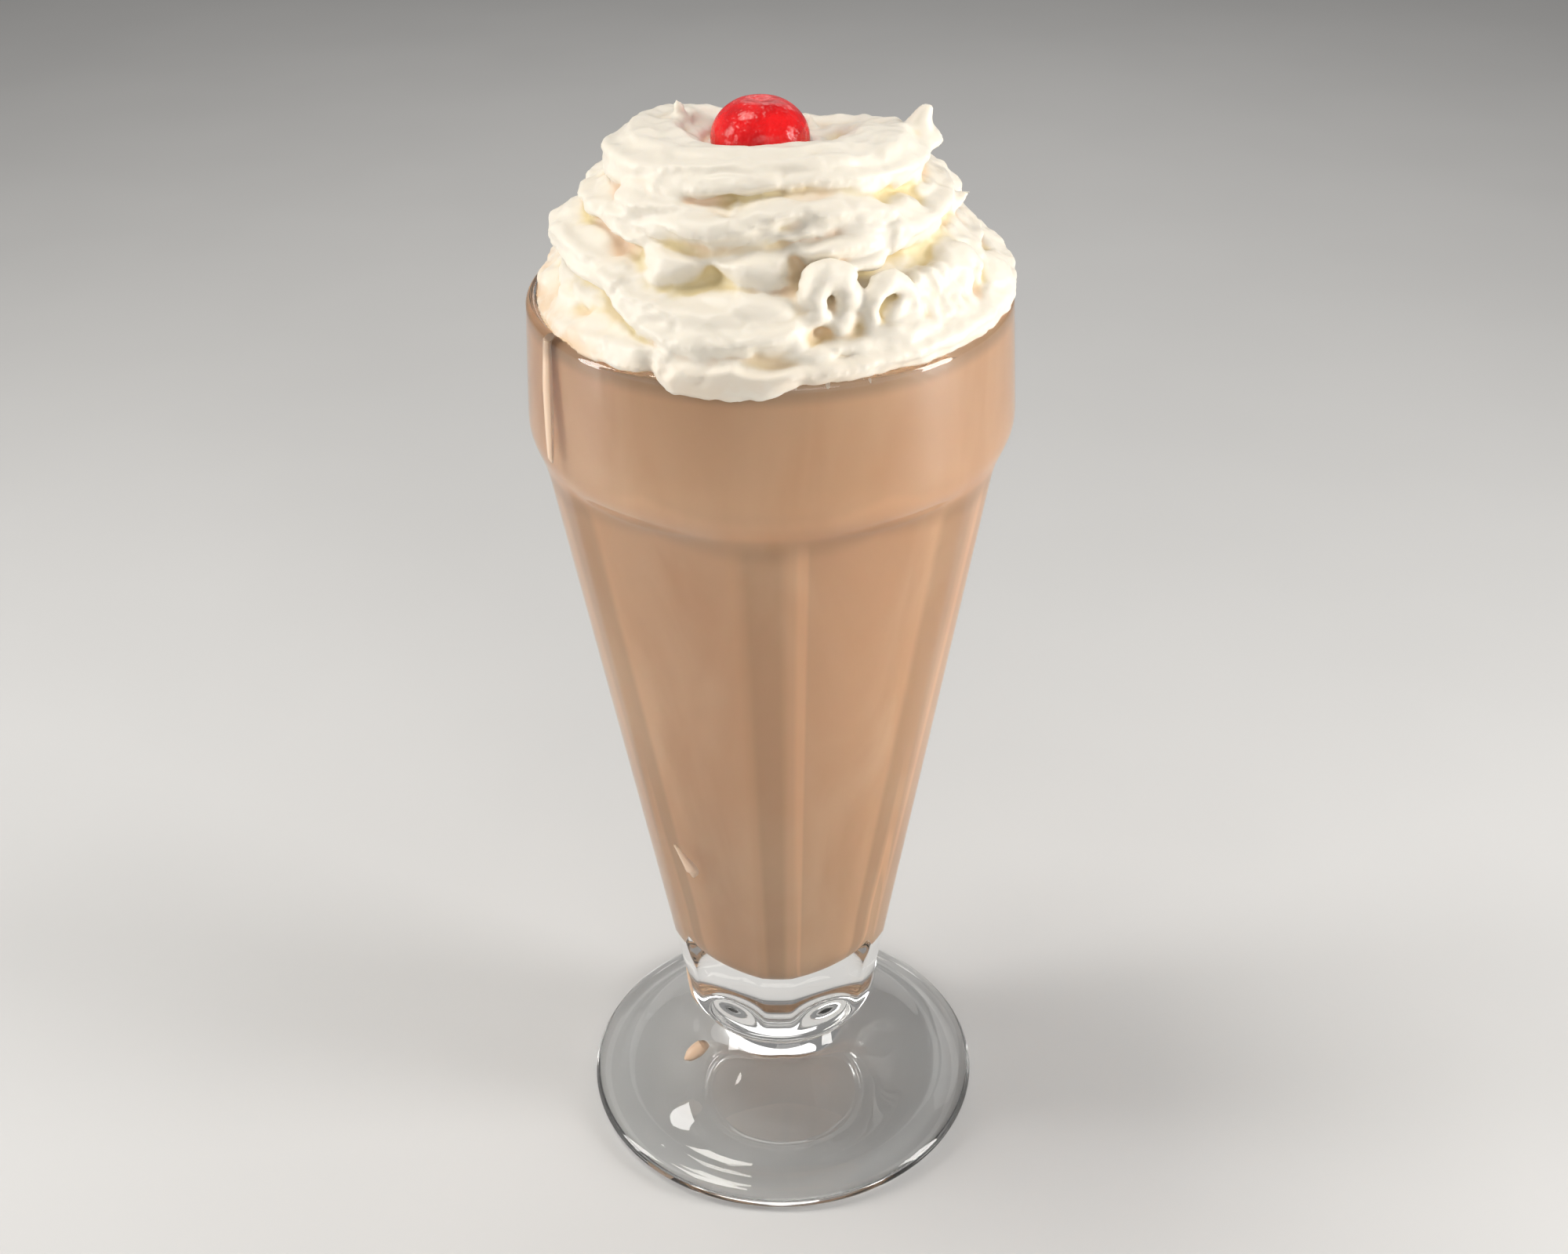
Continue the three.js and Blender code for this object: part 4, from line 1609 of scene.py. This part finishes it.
@dataclass
class Drips:
    """Runs of milkshake on the outside of the glass, at its left, and a drop on its foot.

    Each run is a list of bearings, heights and bead sizes.
    """

    sunk: float = 0.6
    thinnest: float = 0.1
    points_a_run: int = 40
    length_step: float = 0.4
    sides: int = 16
    smooth_angle: float = 70.0
    runs: Sequence[Sequence[tuple[float, float, float]]] = (
        (
            (-60.6, 199.0, 1.2),
            (-60.8, 196.0, 1.4),
            (-61.0, 190.0, 1.6),
            (-60.6, 183.0, 1.4),
            (-60.2, 176.4, 0.9),
            (-60.2, 175.6, 0.2),
        ),
        ((-48.0, 84.0, 0.3), (-45.0, 80.6, 1.1), (-42.4, 77.8, 1.7), (-41.6, 75.8, 0.3)),
        ((-72.0, 40.0, 0.2), (-72.0, 37.0, 0.8), (-70.0, 31.0, 0.9), (-68.0, 27.6, 0.2)),
        (
            (-65.0, 15.7, 0.3),
            (-65.0, 15.3, 1.5),
            (-65.0, 14.3, 1.9),
            (-65.0, 13.3, 1.5),
            (-65.0, 12.9, 0.3),
        ),
    )

    def build(self, glass: Glass, tree: DripTree, material: bpy.types.Material) -> bpy.types.Object:
        """Builds the runs along the outer surface of the glass.

        Args:
            glass: the glass that they run down.
            tree: the tree that gives them their thickness.
            material: their finish.

        Returns:
            The piece.
        """
        points, edges, beads = [], [], []
        for run in self.runs:
            table = smooth_path(np.array(run), np.linspace(0.0, 1.0, self.points_a_run))
            edges += [(len(points) + i, len(points) + i + 1) for i in range(len(table) - 1)]
            for bearing, height, bead in table:
                reach = glass.outer_reach(bearing, height) - self.sunk * bead
                points.append(tuple(place(bearing, reach, height) * MM))
                beads.append(max(bead, self.thinnest) * MM)
        mesh = bpy.data.meshes.new("milkshake_drip")
        mesh.from_pydata(points, edges, [])
        mesh.attributes.new("bead", "FLOAT", "POINT").data.foreach_set("value", beads)
        piece = add_object("milkshake_drip", mesh)
        step = self.length_step * MM
        tree.sheet.grow(piece, {"Length Step": step, "Sides": self.sides, "Material": material})
        settle(piece)
        face_outwards(piece, self.smooth_angle)
        return piece


# Studio


class Light(Enum):
    """The studio's soft lights: place, width, height, strength and colour."""

    KEY = ((-0.35, 0.05, 1.15), 0.35, 0.35, 4.6, (1.0, 0.965, 0.90))
    FRONT = ((0.25, -1.45, 0.7), 1.1, 0.7, 6.0, (1.0, 0.97, 0.92))
    LEFT = ((-0.62, -0.05, 0.3), 0.14, 0.55, 2.8, (1.0, 0.98, 0.95))
    RIGHT = ((0.64, -0.15, 0.26), 0.2, 0.5, 4.6, (1.0, 0.98, 0.95))
    BACK = ((0.15, 0.8, 0.7), 0.7, 0.4, 1.2, (1.0, 0.98, 0.95))

    def make(self, aim: Vector) -> None:
        """Adds the light, turned to its aim."""
        spot, width, height, power, colour = self.value
        lamp = bpy.data.lights.new(self.name.lower(), "AREA")
        lamp.shape = "RECTANGLE"
        lamp.size, lamp.size_y = width, height
        lamp.energy = power
        lamp.color = colour
        holder = add_object(self.name.lower(), lamp)
        holder.location = spot
        holder.rotation_euler = (aim - Vector(spot)).to_track_quat("-Z", "Y").to_euler()


@dataclass
class Studio:
    """The plain pale floor, the soft light and the camera."""

    floor_size: float = 6.0
    sky: Colour = (0.88, 0.87, 0.86)
    sky_strength: float = 0.27
    aim: tuple[float, float, float] = (0.0, 0.0, 0.13)
    camera_place: tuple[float, float, float] = (0.0017, -0.32407, 0.32787)
    camera_pitch: float = 32.038
    camera_roll: float = -0.8
    focal_pixels: float = 2361.1
    image_width: int = 2000
    sensor: float = 36.0
    clip_start: float = 0.01

    def build(self) -> None:
        """Builds the whole studio."""
        self.make_floor()
        self.make_sky()
        for light in Light:
            light.make(Vector(self.aim))
        self.make_camera()

    def make_floor(self) -> None:
        """Lays the floor."""
        half = self.floor_size / 2.0
        mesh = bpy.data.meshes.new("floor")
        corners = [(-half, -half, 0.0), (half, -half, 0.0), (half, half, 0.0), (-half, half, 0.0)]
        mesh.from_pydata(corners, [], [(0, 1, 2, 3)])
        mesh.materials.append(FloorFinish().make())
        add_object("floor", mesh)

    def make_sky(self) -> None:
        """Sets the even light from all round."""
        world = bpy.data.worlds.new("studio")
        world.use_nodes = True
        background = world.node_tree.nodes["Background"]
        background.inputs["Color"].default_value = (*self.sky, 1.0)
        background.inputs["Strength"].default_value = self.sky_strength
        bpy.context.scene.world = world

    def make_camera(self) -> None:
        """Sets the camera at the photograph's viewing angle."""
        data = bpy.data.cameras.new("camera")
        data.sensor_width = self.sensor
        data.lens = self.focal_pixels / self.image_width * self.sensor
        data.clip_start = self.clip_start
        camera = add_object("camera", data)
        camera.location = self.camera_place
        level = Matrix.Rotation(math.radians(90.0 - self.camera_pitch), 3, "X")
        roll = Matrix.Rotation(math.radians(self.camera_roll), 3, "Z")
        camera.rotation_euler = (level @ roll).to_euler()
        bpy.context.scene.camera = camera


def main() -> None:
    """Builds the dressed part and its studio."""
    logging.basicConfig(level=logging.INFO, format="%(message)s", force=True)
    sizes = GlassSizes()
    turned = TurnedTree()
    glass = Glass(sizes, turned)
    milkshake = MilkshakeFinish().make()
    keep(glass.build(ClearGlass().make()), "glass")
    keep(Milkshake(sizes, turned).build(glass, milkshake), "milkshake")
    cream = WhippedCream().build(CreamSkinTree(), CreamFinish().make())
    keep(cream, "whipped_cream")
    keep(Cherry().build(CherryFinish().make()), "cherry")
    # The drips keep the painted shade and light of the crease, bevel, bottom and lip, but not the
    # ribs'.
    froth = MilkshakeFinish(
        name="milkshake_froth",
        dark=(0.78, 0.56, 0.40),
        light=(0.86, 0.66, 0.50),
        rib_shade=0.0,
        edge_light=0.0,
    )
    keep(Drips().build(glass, DripTree(), froth.make()), None)
    Studio().build()
    bpy.context.scene.view_settings.view_transform = "Standard"


if __name__ == "__main__":
    main()
